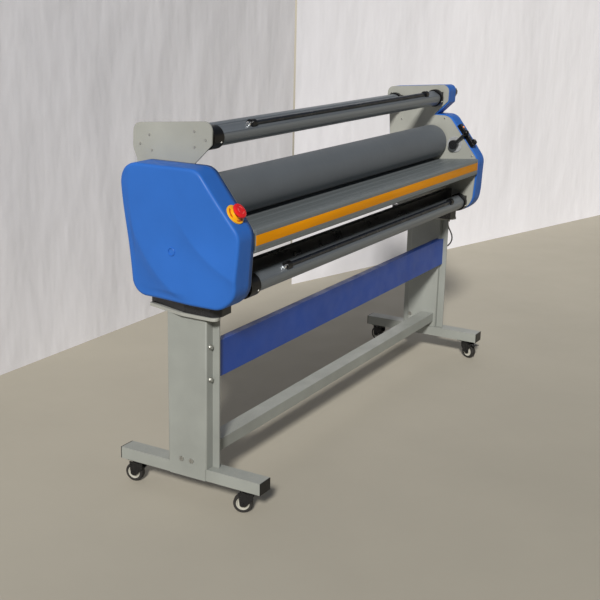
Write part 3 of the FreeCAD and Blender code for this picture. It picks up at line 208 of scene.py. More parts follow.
class Surface:
    """Node material on object coordinates, with the parts that every finish here uses."""

    def __init__(self, name, roughness, metallic=0.0):
        self.material = bpy.data.materials.new(name)
        self.material.use_nodes = True
        self.nodes = self.material.node_tree.nodes
        self.links = self.material.node_tree.links
        self.shader = self.nodes["Principled BSDF"]
        self.shader.inputs["Roughness"].default_value = roughness
        self.shader.inputs["Metallic"].default_value = metallic
        self.where = self.nodes.new("ShaderNodeTexCoord").outputs["Object"]

    def stretched(self, scale):
        mapping = self.nodes.new("ShaderNodeMapping")
        mapping.inputs["Scale"].default_value = scale
        self.links.new(self.where, mapping.inputs["Vector"])
        return mapping.outputs["Vector"]

    def noise(self, scale, detail=3.0, stretch=None):
        node = self.nodes.new("ShaderNodeTexNoise")
        node.inputs["Scale"].default_value = scale
        node.inputs["Detail"].default_value = detail
        self.links.new(self.stretched(stretch) if stretch else self.where, node.inputs["Vector"])
        return node.outputs["Fac"]

    def ramp(self, source, low, high, start=0.35, end=0.65):
        """A value or colour that goes from low to high as the source rises from start to end."""
        if isinstance(low, float):
            node = self.nodes.new("ShaderNodeMapRange")
            node.inputs["From Min"].default_value = start
            node.inputs["From Max"].default_value = end
            node.inputs["To Min"].default_value = low
            node.inputs["To Max"].default_value = high
            self.links.new(source, node.inputs["Value"])
            return node.outputs["Result"]
        node = self.nodes.new("ShaderNodeValToRGB")
        node.color_ramp.elements[0].position = start
        node.color_ramp.elements[0].color = low
        node.color_ramp.elements[1].position = end
        node.color_ramp.elements[1].color = high
        self.links.new(source, node.inputs["Fac"])
        return node.outputs["Color"]

    def mixed(self, share, first, second):
        node = self.nodes.new("ShaderNodeMix")
        node.data_type = "RGBA"
        for socket, value in (("A", first), ("B", second)):
            target = next(s for s in node.inputs if s.name == socket and s.type == "RGBA")
            if isinstance(value, tuple):
                target.default_value = value
            else:
                self.links.new(value, target)
        self.links.new(share, node.inputs["Factor"])
        return next(s for s in node.outputs if s.type == "RGBA")

    def upward(self, start, end):
        """Share that rises on faces that look up."""
        geometry = self.nodes.new("ShaderNodeNewGeometry")
        split = self.nodes.new("ShaderNodeSeparateXYZ")
        self.links.new(geometry.outputs["Normal"], split.inputs["Vector"])
        return self.ramp(split.outputs["Z"], 0.0, 1.0, start, end)

    def product(self, first, second):
        node = self.nodes.new("ShaderNodeMath")
        node.operation = "MULTIPLY"
        self.links.new(first, node.inputs[0])
        if isinstance(second, float):
            node.inputs[1].default_value = second
        else:
            self.links.new(second, node.inputs[1])
        return node.outputs["Value"]

    def colour(self, source):
        self.links.new(source, self.shader.inputs["Base Color"])

    def rough(self, source):
        self.links.new(source, self.shader.inputs["Roughness"])

    def bump(self, source, depth, strength=1.0):
        """Adds relief of a depth in metres; calls stack."""
        node = self.nodes.new("ShaderNodeBump")
        node.inputs["Strength"].default_value = strength
        node.inputs["Distance"].default_value = depth
        self.links.new(source, node.inputs["Height"])
        earlier = self.shader.inputs["Normal"].links
        if earlier:
            self.links.new(earlier[0].from_socket, node.inputs["Normal"])
        self.links.new(node.outputs["Normal"], self.shader.inputs["Normal"])


# ---------------------------------------------------------------- materials

DUST = linear(176, 170, 156)


def powder_coat(name, colour, roughness=0.42, dust=0.22):
    """Sprayed and baked paint: fine orange peel, faint clouding, and dust where it faces up."""
    surface = Surface(name, roughness)
    clouds = surface.noise(5, 4)
    paint = surface.ramp(clouds, shaded(colour, 0.90), shaded(colour, 1.06))
    specks = surface.ramp(surface.noise(160, 2), 0.0, 1.0, 0.45, 0.75)
    dusty = surface.product(surface.product(surface.upward(0.6, 1.0), specks), dust)
    surface.colour(surface.mixed(dusty, paint, DUST))
    surface.rough(surface.ramp(surface.noise(14, 4), roughness - 0.07, roughness + 0.09))
    surface.bump(surface.noise(620, 2), 0.00030, 0.35)
    return surface.material


def moulded_plastic(name, colour, roughness=0.36, grain=900, relief=0.00018, shine=0.5):
    """Injection-moulded or vacuum-formed plastic with a fine spark-eroded grain."""
    surface = Surface(name, roughness)
    surface.shader.inputs["Specular IOR Level"].default_value = shine
    surface.colour(surface.ramp(surface.noise(3.2, 5), shaded(colour, 0.91), shaded(colour, 1.07)))
    scuffs = surface.noise(38, 5, (1, 1, 0.35))
    surface.rough(surface.ramp(scuffs, roughness - 0.05, roughness + 0.12, 0.4, 0.72))
    surface.bump(surface.noise(grain, 2), relief, 0.4)
    surface.bump(surface.noise(2.4, 2), 0.0012, 0.25)
    return surface.material


def drawn_metal(name, colour, roughness=0.34, metallic=0.8, streak=0.12):
    """Extruded or drawn metal: fine die lines that run along X."""
    surface = Surface(name, roughness, metallic)
    lines = surface.noise(1, 3, (1.2, 900, 900))
    broad = surface.noise(1, 2, (0.5, 90, 90))
    tone = surface.ramp(broad, shaded(colour, 1 - streak), shaded(colour, 1 + streak))
    surface.colour(tone)
    surface.rough(surface.ramp(lines, roughness - 0.08, roughness + 0.10))
    surface.bump(lines, 0.00010, 0.35)
    return surface.material


def plated_steel(name, colour, roughness=0.28, metallic=1.0):
    """Zinc-plated steel with a soft crystalline mottle."""
    surface = Surface(name, roughness, metallic)
    cells = surface.nodes.new("ShaderNodeTexVoronoi")
    cells.inputs["Scale"].default_value = 240
    surface.links.new(surface.where, cells.inputs["Vector"])
    split = surface.nodes.new("ShaderNodeSeparateColor")
    surface.links.new(cells.outputs["Color"], split.inputs["Color"])
    surface.colour(surface.ramp(split.outputs["Red"], shaded(colour, 0.82), colour, 0.0, 1.0))
    surface.rough(surface.ramp(surface.noise(70, 4), roughness - 0.06, roughness + 0.14))
    surface.bump(surface.noise(420, 3), 0.00012, 0.3)
    return surface.material


def silicone_rubber():
    """Ground silicone roller cover: matt, with faint rings left by the grinding wheel."""
    surface = Surface("roller_silicone", 0.62)
    base = linear(84, 90, 96)
    clouds = surface.noise(1, 4, (3.5, 9, 9))
    surface.colour(surface.ramp(clouds, shaded(base, 0.90), shaded(base, 1.08), 0.3, 0.7))
    rings = surface.noise(1, 2, (520, 2, 2))
    surface.rough(surface.ramp(rings, 0.55, 0.70))
    surface.bump(rings, 0.00008, 0.4)
    surface.bump(surface.noise(1100, 2), 0.00010, 0.3)
    surface.shader.inputs["Sheen Weight"].default_value = 0.08
    return surface.material


def rubber(name, colour, roughness=0.68):
    surface = Surface(name, roughness)
    surface.colour(surface.ramp(surface.noise(60, 4), shaded(colour, 0.8), shaded(colour, 1.35)))
    surface.rough(surface.ramp(surface.noise(25, 3), roughness - 0.1, roughness + 0.12))
    surface.bump(surface.noise(700, 3), 0.00022, 0.45)
    return surface.material


def film_strip(name, colour):
    """Self-adhesive coloured film with a slight ripple."""
    surface = Surface(name, 0.5)
    surface.shader.inputs["Specular IOR Level"].default_value = 0.12
    ripple = surface.noise(1, 3, (2, 24, 24))
    surface.colour(surface.ramp(ripple, shaded(colour, 0.88), shaded(colour, 1.07)))
    surface.rough(surface.ramp(surface.noise(1, 4, (9, 60, 60)), 0.42, 0.6))
    surface.bump(surface.noise(1, 2, (14, 120, 120)), 0.00025, 0.4)
    return surface.material


def lens(name, colour, glow):
    surface = Surface(name, 0.14)
    surface.colour(surface.ramp(surface.noise(300, 2), shaded(colour, 0.8), colour))
    surface.shader.inputs["Emission Color"].default_value = colour
    surface.shader.inputs["Emission Strength"].default_value = glow
    return surface.material


STAND_GREY = linear(142, 145, 140)
BODY_GREY = linear(157, 158, 151)
PANEL_BLUE = linear(20, 66, 152)
SHELL_BLUE = linear(42, 99, 181)
FLOOR_PALE = linear(169, 163, 149)
CLOTH_PALE = linear(236, 235, 240)

STAND_PAINT = powder_coat("stand_powder_coat", STAND_GREY)
BODY_PAINT = powder_coat("body_powder_coat", BODY_GREY)
BLUE_PAINT = powder_coat("blue_powder_coat", PANEL_BLUE, 0.36, 0.03)
BLUE_SHELL = moulded_plastic("blue_moulded_shell", SHELL_BLUE, 0.46, shine=0.25)
BLACK_PAINT = powder_coat("black_powder_coat", linear(30, 30, 32), 0.33, 0.10)
BLACK_PLASTIC = moulded_plastic("black_moulded_plastic", linear(11, 11, 13), 0.34, 1400, 0.00014,
                                shine=0.3)
CASTER_BLACK = moulded_plastic("caster_black", linear(20, 20, 22), 0.26, 1600, 0.00008)
ZINC = plated_steel("zinc_plated_steel", linear(186, 186, 181), 0.32, 0.85)
CHROME = plated_steel("polished_tip", linear(235, 235, 235), 0.12)
PALE_METAL = drawn_metal("satin_aluminium", linear(176, 178, 180), 0.40, 0.3)
STEEL = drawn_metal("ground_steel", linear(170, 172, 175), 0.26, 1.0)
ANODISED = drawn_metal("anodised_shaft", linear(124, 130, 136), 0.36, 0.5)
TABLE_METAL = drawn_metal("table_extrusion", linear(120, 126, 128), 0.42, 0.35)
DARK_BAR = rubber("black_bar", linear(12, 17, 26), 0.34)
AMBER_STRIP = film_strip("amber_strip", linear(226, 146, 0))
MOTOR_PAINT = powder_coat("motor_paint", linear(92, 96, 100), 0.45, 0.1)
YELLOW = moulded_plastic("yellow_plastic", linear(240, 176, 30), 0.32, 1500, 0.00008)
RED = moulded_plastic("red_plastic", linear(214, 26, 30), 0.24, 1800, 0.00005)
ARROW_AMBER = moulded_plastic("dark_amber_marks", linear(196, 96, 14), 0.4, 1500, 0.00008)
MARK_PINK = moulded_plastic("head_marks", linear(236, 110, 104), 0.4, 1500, 0.00008)
MARK_WHITE = moulded_plastic("white_marks", linear(215, 215, 210), 0.5, 1500, 0.00008)
CABLE_JACKET = rubber("cable_jacket", linear(24, 24, 25), 0.5)
SILICONE = silicone_rubber()
TYRE = rubber("tyre_rubber", linear(34, 32, 30))
DISC_WHITE = moulded_plastic("wheel_disc", linear(176, 174, 164), 0.3, 1200, 0.0001)
INDICATOR_LENS = lens("indicator_lens", linear(236, 132, 40), 0.6)
GRAPHITE = moulded_plastic("graphite_face_plate", linear(44, 46, 50), 0.45, 1500, 0.0001)

FINISHES = [
    (STAND_PAINT, ["foot_tubes", "leg_outer_channels", "leg_inner_channels", "lower_crossbar"]),
    (BODY_PAINT, ["leg_top_plates", "left_side_plate", "right_side_plate"]),
    (BLUE_PAINT, ["cross_panel"]),
    (BLUE_SHELL, ["right_arm_cover"]),
    (BLACK_PAINT, ["base_blocks", "front_beam", "rear_beam", "caster_plates", "pressure_lever"]),
    (BLACK_PLASTIC, ["foot_end_caps", "shaft_holders", "supply_collars", "takeup_collars",
                     "cable_glands", "control_panel", "motor_controller", "lever_ball"]),
    (CASTER_BLACK, ["front_left_caster_fork", "front_right_caster_fork", "rear_left_caster_fork",
                    "rear_right_caster_fork", "brake_pedal"]),
    (ZINC, ["machine_fasteners"]),
    (PALE_METAL, ["lever_bush"]),
    (STEEL, ["lift_blocks", "lift_wedges", "lift_shaft", "lower_roller_bearings",
             "top_roller_shaft", "bottom_roller_shaft", "roller_sprocket", "motor_sprocket",
             "drive_chain"]),
    (MOTOR_PAINT, ["drive_motor"]),
    (SILICONE, ["top_roller_sleeve", "bottom_roller_sleeve"]),
]
SHEET_PARTS = ["foot_tubes", "leg_outer_channels", "leg_inner_channels", "leg_top_plates",
               "lower_crossbar", "left_side_plate", "right_side_plate", "cross_panel",
               "base_blocks", "front_beam", "rear_beam", "foot_end_caps", "control_panel",
               "motor_controller"]
EASED_EDGE = 0.0008


def finish_frame():
    """Gives every carried-over CAD node its material and eases the edges of the sheet parts."""
    for material, names in FINISHES:
        for name in names:
            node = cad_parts[name]
            node.data.materials.clear()
            node.data.materials.append(material)
    for name in SHEET_PARTS:
        ease_edges(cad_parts[name], EASED_EDGE)


def ease_edges(node, width):
    """Welds a CAD node's split corners and rounds its sharp edges a little."""
    weld = node.modifiers.new("weld", "WELD")
    weld.merge_threshold = 0.00001
    bevel = node.modifiers.new("ease", "BEVEL")
    bevel.width = width
    bevel.segments = 2
    bevel.limit_method = "ANGLE"
    bevel.angle_limit = math.radians(40)
    bevel.harden_normals = True


# ---------------------------------------------------------------- cabinet covers

COVER_CORNERS = [(COVER_BROW.x, COVER_BROW.y, 0.055), (COVER_KNEE.x, COVER_KNEE.y, 0.060),
                 (-0.206, 0.712, 0.076), (-0.152, 0.668, 0.076), (0.186, 0.668, 0.054),
                 (0.216, 1.087, 0.065)]
COVER_EDGE = 0.010
COVER_WALL = 0.0045
CREASE_RADIUS = 0.382
FRONT_CREASE_CENTRE = Vector((-0.330, 1.130))
REAR_CREASE_CENTRE = Vector((-0.190, 1.020))
HOLLOW_DEPTH = 0.0075
HOLLOW_LENGTH = 0.030
HOLLOW_FADES_OUT = 1.03
HOLLOW_FULL = 0.82
FOLD_SOFTNESS = 0.002
ZONE_SOFTNESS = 0.004
SHALLOWEST = 0.0008
FRONT_TILT = 0.09
REAR_SLOPE = 0.34
REAR_LIMIT = 0.020
PLUG_PLACE = Vector((0.021, 0.829))
PLUG_PROFILE = [(0.0, -0.002), (0.0128, -0.002), (0.0128, 0.0022), (0.0118, 0.0030),
                (0.0104, 0.0026), (0.0098, -0.0004), (0.0088, -0.0012), (0.0040, -0.0014),
                (0.0, -0.0014)]


def eased(amount, softness):
    """max(amount, 0), rounded off over the softness."""
    return (amount + math.sqrt(amount * amount + softness * softness)) / 2


def smooth_step(share):
    share = min(max(share, 0), 1)
    return share * share * (3 - 2 * share)


def cover_depth(point):
    """How far the outer face lies below its highest plane.

    The middle zone rises to the first crease, most steeply at the crease's lower end, the zone in
    front of it tilts forward a little, and the zone behind the second crease slopes away.
    """
    past_front = (point - FRONT_CREASE_CENTRE).length - CREASE_RADIUS
    past_rear = (point - REAR_CREASE_CENTRE).length - CREASE_RADIUS
    strength = smooth_step((HOLLOW_FADES_OUT - point.y) / (HOLLOW_FADES_OUT - HOLLOW_FULL))
    hollow = HOLLOW_DEPTH * strength * (1 - math.exp(-eased(past_front, FOLD_SOFTNESS) / HOLLOW_LENGTH))
    front = FRONT_TILT * strength * eased(-past_front, ZONE_SOFTNESS)
    rear = REAR_LIMIT * math.tanh(REAR_SLOPE * eased(past_rear, ZONE_SOFTNESS) / REAR_LIMIT)
    return SHALLOWEST + hollow + front + rear


def inward_normals(points):
    result = []
    for i, point in enumerate(points):
        tangent = (points[(i + 1) % len(points)] - points[i - 1]).normalized()
        result.append(Vector((-tangent.y, tangent.x)))
    return result


def cover_mesh(name, sign):
    """Moulded cover: side wall, rounded edge and a creased outer face, open towards the plate."""
    outline = evenly(rounded_outline(COVER_CORNERS, 16), 0.005)
    inward = inward_normals(outline)
    centre = sum(outline, Vector((0, 0))) / len(outline)
    if (centre - outline[0]).dot(inward[0]) < 0:
        inward = [-direction for direction in inward]
    wall_steps = 4
    edge_steps = 8
    face_steps = 60
    rings = []
    for step in range(wall_steps + 1):
        share = step / wall_steps
        rings.append([(point, share * (COVER_WIDTH - cover_depth(point) - COVER_EDGE))
                      for point in outline])
    for step in range(1, edge_steps + 1):
        turn = math.pi / 2 * step / edge_steps
        inset = COVER_EDGE * (1 - math.cos(turn))
        rise = COVER_EDGE * (math.sin(turn) - 1)
        rings.append([(point + direction * inset, COVER_WIDTH - cover_depth(point) + rise)
                      for point, direction in zip(outline, inward)])
    rim = [point + direction * COVER_EDGE for point, direction in zip(outline, inward)]
    for step in range(1, face_steps):
        share = step / face_steps
        ring = [point.lerp(centre, share) for point in rim]
        fade = min(1, share * 8)
        rings.append([(point,
                       COVER_WIDTH - cover_depth(point) * fade - cover_depth(edge) * (1 - fade))
                      for point, edge in zip(ring, outline)])
    bm = bmesh.new()
    rows = [[bm.verts.new((sign * (PLATE_OUTER + x), point.x, point.y)) for point, x in ring]
            for ring in rings]
    for row, following in zip(rows, rows[1:]):
        for i in range(len(row)):
            j = (i + 1) % len(row)
            bm.faces.new((row[i], row[j], following[j], following[i]))
    tip_x = sign * (PLATE_OUTER + COVER_WIDTH - cover_depth(centre))
    tip = bm.verts.new((tip_x, centre.x, centre.y))
    for i in range(len(rows[-1])):
        bm.faces.new((rows[-1][i], rows[-1][(i + 1) % len(rows[-1])], tip))
    bmesh.ops.recalc_face_normals(bm, faces=bm.faces)
    mesh = bpy.data.meshes.new(name)
    bm.to_mesh(mesh)
    bm.free()
    return mesh


def build_covers():
    """The two blue cabinet covers, each with a round blanking plug."""
    for side, sign in (("left", -1), ("right", 1)):
        cover = add_piece(f"{side}_moulded_cover", cover_mesh(f"{side}_cover_skin", sign),
                          "machine_frame", BLUE_SHELL, 50)
        shell = cover.modifiers.new("wall", "SOLIDIFY")
        shell.thickness = COVER_WALL
        shell.offset = -1
        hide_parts(f"{side}_cover")
        plug_x = sign * (PLATE_OUTER + COVER_WIDTH - cover_depth(PLUG_PLACE))
        place = facing_x(plug_x, PLUG_PLACE.x, PLUG_PLACE.y, sign)
        add_piece(f"{side}_cover_plug", lathe(f"{side}_plug_turned", PLUG_PROFILE, place),
                  "machine_frame", BLUE_SHELL)


# ---------------------------------------------------------------- feed table

def grooved(start, end, shares, width=0.0016, depth=0.0009):
    """Straight line with a shallow groove at each share of its length, cut to its right side."""
    along = (end - start).normalized()
    inward = Vector((along.y, -along.x))
    points = [start]
    for share in shares:
        middle = start.lerp(end, share)
        points += [middle - along * width, middle - along * width * 0.6 + inward * depth,
                   middle + along * width * 0.6 + inward * depth, middle + along * width]
    return points


TABLE_BACK = Vector((-0.044, 0.894))
TABLE_FRONT = Vector((-0.216, 0.9085))
TABLE_GROOVES = (0.10, 0.34, 0.37, 0.62, 0.65, 0.9)
TABLE_UNDERSIDE = [(-0.044, 0.8902), (-0.2155, 0.898), (-0.2155, 0.845), (-0.204, 0.842)]
TABLE_LIP = [(-0.204, 0.838), (-0.2185, 0.8408), (-0.2215, 0.8422), (-0.222, 0.8440)]
TABLE_FACE = [(-0.222, 0.8475), (-0.2212, 0.8479), (-0.2212, 0.8486), (-0.222, 0.8490),
              (-0.222, 0.8600), (-0.2205, 0.8600), (-0.2205, 0.8930), (-0.222, 0.8930)]
TABLE_NOSE = [(-0.222, 0.9015), (-0.2218, 0.9035), (-0.2200, 0.9062), (-0.2182, 0.9079)]
STRIP_LOW = (-0.2219, 0.8603)
STRIP_HIGH = (-0.2203, 0.8927)


def build_table():
    """Ribbed feed table extrusion and its amber strip."""
    outline = [tuple(point) for point in grooved(TABLE_FRONT, TABLE_BACK, TABLE_GROOVES)]
    outline += [tuple(TABLE_BACK), *TABLE_UNDERSIDE, *TABLE_LIP, *TABLE_FACE, *TABLE_NOSE]
    half = frame_half("feed_table")
    table = add_piece("ribbed_feed_table", along_x("feed_table_section", outline, -half, half),
                      "machine_frame", TABLE_METAL, 25)
    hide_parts("feed_table")
    bar = rounded_box((-half, *STRIP_LOW), (half, *STRIP_HIGH), 0.0004, "amber_strip_bar")
    strip = add_piece("amber_table_strip", bar, "machine_frame", AMBER_STRIP)
    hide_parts("table_stripe")


def frame_half(node):
    """Half the length of a CAD node along X."""
    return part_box(node)[1].x


# ---------------------------------------------------------------- film shafts

def shaft_outline(has_flat, notches):
    """Round section with a flat on top and fine lengthwise notches."""
    notch_half = math.radians(1.6)
    notch_depth = 0.0011
    turns = [math.radians(4 * i) for i in range(90)]
    for notch in notches:
        turns = [turn for turn in turns if abs(turn - notch) > notch_half]
        turns += [notch + notch_half * share for share in (-1, -0.5, 0.5, 1)]
    points = []
    for turn in sorted(turns):
        radius = SHAFT_RADIUS - 0.0001
        if has_flat and radius * math.cos(turn) > SHAFT_FLAT:
            radius = SHAFT_FLAT / math.cos(turn)
        if any(abs(turn - notch) < notch_half * 0.75 for notch in notches):
            radius -= notch_depth
        points.append((-radius * math.sin(turn), radius * math.cos(turn)))
    return points


STUB_PROFILE = [(0, -0.012), (0.0089, -0.012), (0.0089, 0.0130), (0.0080, 0.0138), (0, 0.0138)]


def build_film_shafts():
    """Extruded tubes with a flat, the dark grip bar with bright tips, and the end stubs."""
    flat_half = math.acos(SHAFT_FLAT / SHAFT_RADIUS)
    edge = flat_half + math.radians(4)
    notches = [edge, math.radians(96), math.radians(104), math.radians(205), 2 * math.pi - edge]
    for name, (axis, tilt) in SHAFTS.items():
        place = Matrix.Translation(axis) @ Matrix.Rotation(tilt, 4, "X")
        body = f"{name}_shaft"
        has_flat = name != "rear"
        tube = along_x(f"{name}_tube_section", shaft_outline(has_flat, notches),
                       SHAFT_LEFT, SHAFT_RIGHT, place)
        stubs = [lathe(f"{name}_stub_{sign}", STUB_PROFILE, place @ facing_x(end, 0, 0, sign), 32)
                 for sign, end in ((-1, SHAFT_LEFT), (1, SHAFT_RIGHT))]
        shaft = add_piece(f"{name}_shaft_tube", joined(f"{name}_tube_and_stubs", [tube, *stubs]),
                          body, ANODISED, 20)
        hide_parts(f"{name}_shaft")
        if has_flat:
            build_grip_bar(name, body, place)


def build_grip_bar(name, body, place):
    """Dark bar on the flat, with a turned bright tip at each end."""
    node = f"{name}_grip_bar"
    low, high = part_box(node)
    height = 0.030
    radius = 0.0079
    tip_length = 0.017
    bar_length = high.x - low.x - 2 * tip_length
    bar = lathe(f"{name}_bar_turned", [(0, 0), (radius, 0), (radius, bar_length), (0, bar_length)],
                place @ facing_x(low.x + tip_length, 0, height), 32)
    piece = add_piece(f"{name}_dark_bar", bar, body, DARK_BAR)
    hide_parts(node)
    for side, x, outward in (("left", low.x + tip_length, -1), ("right", high.x - tip_length, 1)):
        tip = lathe(f"{name}_{side}_tip_turned",
                    [(0, 0), (radius, 0), (radius, 0.009), (radius * 0.9, 0.0115),
                     (radius * 0.62, 0.0120), (radius * 0.62, 0.0150), (radius * 0.45, tip_length),
                     (0, tip_length)],
                    place @ facing_x(x, 0, height, outward), 32)
        add_piece(f"{name}_{side}_bright_tip", tip, body, CHROME)


# ---------------------------------------------------------------- controls

STOP_X = -0.959
STOP_ALONG = 0.164
STOP_RING = [(0.0082, 0.001), (0.0148, 0.0106), (0.0146, 0.0109), (0.0150, 0.0062),
             (0.0168, 0.0050), (0.0296, 0.0047), (0.0319, 0.0036), (0.0319, 0.0002),
             (0.0082, 0.0002)]
STOP_HEAD = [(0, 0.008), (0.0079, 0.008), (0.0079, 0.0165), (0.0110, 0.0178), (0.0190, 0.0181),
             (0.0234, 0.0190), (0.0244, 0.0208), (0.0242, 0.0236), (0.0228, 0.0262),
             (0.0200, 0.0276), (0.0160, 0.0279), (0.0105, 0.0273), (0.0, 0.0268)]


def build_stop_button():
    """Mushroom button with a dished top over a yellow ring with three curved marks."""
    place = slope_matrix(STOP_X, STOP_ALONG)
    ring = lathe("stop_ring_turned", STOP_RING, place, 72)
    base = add_piece("stop_yellow_ring", ring, "machine_frame", YELLOW)
    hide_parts("stop_base")
    marks = [curved_mark(f"mark_{i}", 0.0240, 0.0028, math.radians(120 * i), math.radians(80),
                         0.0047, place) for i in range(3)]
    add_piece("stop_ring_marks", joined("stop_marks", marks), "machine_frame",
              ARROW_AMBER)
    head = lathe("stop_head_turned", STOP_HEAD, place, 72)
    button = add_piece("stop_mushroom_head", head, "stop_button", RED)
    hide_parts("stop_button")
    marks = [curved_mark(f"head_mark_{i}", 0.0116, 0.0008, math.radians(120 * i + 20),
                         math.radians(70), 0.0275, place, 0.0004) for i in range(3)]
    add_piece("stop_head_marks", joined("stop_head_arcs", marks), "stop_button",
              MARK_PINK)


def curved_mark(name, radius, half_width, start, sweep, height, place, thickness=0.0006):
    """Raised arc that ends in an arrow point, lying on a disc."""
    steps = 12
    rings = []
    for step in range(steps + 1):
        share = step / steps
        turn = start + sweep * share
        flare = 1.9 * (1 - share) / 0.3 if share > 0.7 else 1.0
        half = half_width * max(flare, 0.05)
        corners = ((radius - half, height - 0.0003), (radius + half, height - 0.0003),
                   (radius + half, height + thickness), (radius - half, height + thickness))
        rings.append([Vector((r * math.cos(turn), r * math.sin(turn), z)) for r, z in corners])
    return mesh_of(name, rings, matrix=place)


STRIP_X = 0.932
STRIP_TOP = 0.016
STRIP_MIDDLE = 0.114
LAMP_ALONG = 0.076
ROCKER_ALONG = 0.129
KNOB_ALONG = 0.156
LAMP_BEZEL = [(0, -0.0005), (0.0062, -0.0005), (0.0062, 0.0012), (0.0052, 0.0022),
              (0.0044, 0.0022), (0.0044, 0.001), (0, 0.001)]
LAMP_DOME = [(0, 0.0010), (0.0043, 0.0010), (0.0043, 0.0024), (0.0036, 0.0038),
             (0.0020, 0.0046), (0, 0.0048)]


def build_control_strip():
    """Face plate, speed knob with a ribbed skirt and tick marks, rocker and indicator."""
    def on_strip(along):
        return slope_matrix(STRIP_X, along) @ Matrix.Translation((0, 0, STRIP_TOP))

    plate = rounded_box((-0.0125, -0.0545, 0.0), (0.0125, 0.0545, 0.0006), 0.00025,
                        "strip_face_plate", on_strip(STRIP_MIDDLE), 2)
    add_piece("control_face_plate", plate, "machine_frame", GRAPHITE)
    knob_place = on_strip(KNOB_ALONG)
    ticks = []
    for i in range(11):
        turn = Matrix.Rotation(math.radians(-135 + 27 * i), 4, "Z")
        ticks.append(rounded_box((-0.00025, 0.0126, 0.0006), (0.00025, 0.0136, 0.0009), 0.0001,
                                 f"tick_{i}", knob_place @ turn, 1))
    add_piece("speed_scale_ticks", joined("speed_ticks", ticks), "machine_frame",
              MARK_WHITE)
    knob = ribbed_knob("speed_knob_ribbed", 0.0123, 0.0012, 0.0138, 24, knob_place)
    stem = lathe("speed_knob_stem", [(0, -0.0065), (0.0029, -0.0065), (0.0029, 0.002), (0, 0.002)],
                 knob_place, 24)
    knob_piece = add_piece("speed_knob_cap", joined("speed_knob_whole", [knob, stem]), "speed_knob",
                           BLACK_PLASTIC)
    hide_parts("speed_knob")
    pointer = rounded_box((-0.0008, 0.0035, 0.0135), (0.0008, 0.0110, 0.0141), 0.0002,
                          "knob_pointer", knob_place, 1)
    add_piece("speed_knob_pointer", pointer, "speed_knob", MARK_WHITE)
    build_rocker(on_strip(ROCKER_ALONG))
    lamp_place = on_strip(LAMP_ALONG)
    bezel = lathe("lamp_bezel_turned", LAMP_BEZEL, lamp_place)
    add_piece("indicator_bezel", bezel, "machine_frame", CHROME)
    dome = lathe("lamp_dome_turned", LAMP_DOME, lamp_place, 32)
    add_piece("indicator_lamp", dome, "machine_frame", INDICATOR_LENS)


def ribbed_knob(name, radius, start, end, ribs, place):
    """Knob with a fluted side and a chamfered, slightly dished top."""
    steps = ribs * 6

    def ring(share, height, flute):
        points = []
        for i in range(steps):
            turn = 2 * math.pi * i / steps
            reach = radius * share - flute * (0.5 + 0.5 * math.cos(ribs * turn))
            points.append(Vector((reach * math.cos(turn), reach * math.sin(turn), height)))
        return points

    flute = radius * 0.06
    rings = [ring(0.30, start, 0), ring(0.97, start, 0), ring(1.0, start + 0.0008, 0),
             ring(1.0, start + 0.0020, flute), ring(0.96, end - 0.0016, flute),
             ring(0.90, end - 0.0004, 0), ring(0.84, end, 0), ring(0.70, end - 0.0003, 0),
             ring(0.05, end - 0.0006, 0)]
    return mesh_of(name, rings, matrix=place)


def build_rocker(place):
    """Rocker switch: two sloping faces that meet in a valley."""
    half_width = 0.0058
    half_length = 0.0093
    profile = [(-half_length, -0.0045), (-half_length, 0.0019), (-half_length + 0.0012, 0.0026),
               (0, 0.0006), (half_length - 0.0012, 0.0010), (half_length, 0.0003),
               (half_length, -0.0045)]
    rocker = along_x("rocker_section", profile, -half_width, half_width, place)
    piece = add_piece("power_rocker", rocker, "power_switch", BLACK_PLASTIC)
    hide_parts("power_switch")
    mark = rounded_box((-0.0004, 0.0035, 0.0008), (0.0004, 0.0068, 0.0012), 0.0001, "rocker_mark",
                       place, 1)
    add_piece("power_rocker_mark", mark, "power_switch", MARK_WHITE)


TENSION_AXIS = (-0.040, 1.178)
TENSION_GRIP_LENGTH = 0.030


def build_tension_knob():
    """Large fluted knob on the outer side of the right arm."""
    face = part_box("tension_knob")[1].x - TENSION_GRIP_LENGTH
    place = facing_x(face, *TENSION_AXIS)
    knob = ribbed_knob("tension_knob_fluted", 0.0238, 0.0002, 0.0298, 12, place)
    stub = lathe("tension_stub_turned",
                 [(0, -0.0105), (0.0079, -0.0105), (0.0079, 0.001), (0, 0.001)], place, 32)
    piece = add_piece("tension_knob_grip", joined("tension_knob_whole", [knob, stub]), "tension_knob",
                      BLACK_PLASTIC)
    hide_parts("tension_knob")


# ---------------------------------------------------------------- caster wheels

TYRE_HALF = 0.011
TREAD = [(0.0218, -TYRE_HALF), (0.0290, -TYRE_HALF), (0.0306, -TYRE_HALF + 0.0014),
         (0.0314, -TYRE_HALF + 0.0042), (0.0315, 0), (0.0314, TYRE_HALF - 0.0042),
         (0.0306, TYRE_HALF - 0.0014), (0.0290, TYRE_HALF), (0.0218, TYRE_HALF)]
DISC_SIDE = [(0.0041, 0.0120), (0.0080, 0.0120), (0.0088, 0.0108), (0.0094, 0.0062),
             (0.0120, 0.0052), (0.0168, 0.0060), (0.0186, 0.0086), (0.0196, 0.0100),
             (0.0216, 0.0102)]
DISC_PROFILE = [(r, -h) for r, h in DISC_SIDE] + [(r, h) for r, h in reversed(DISC_SIDE)]


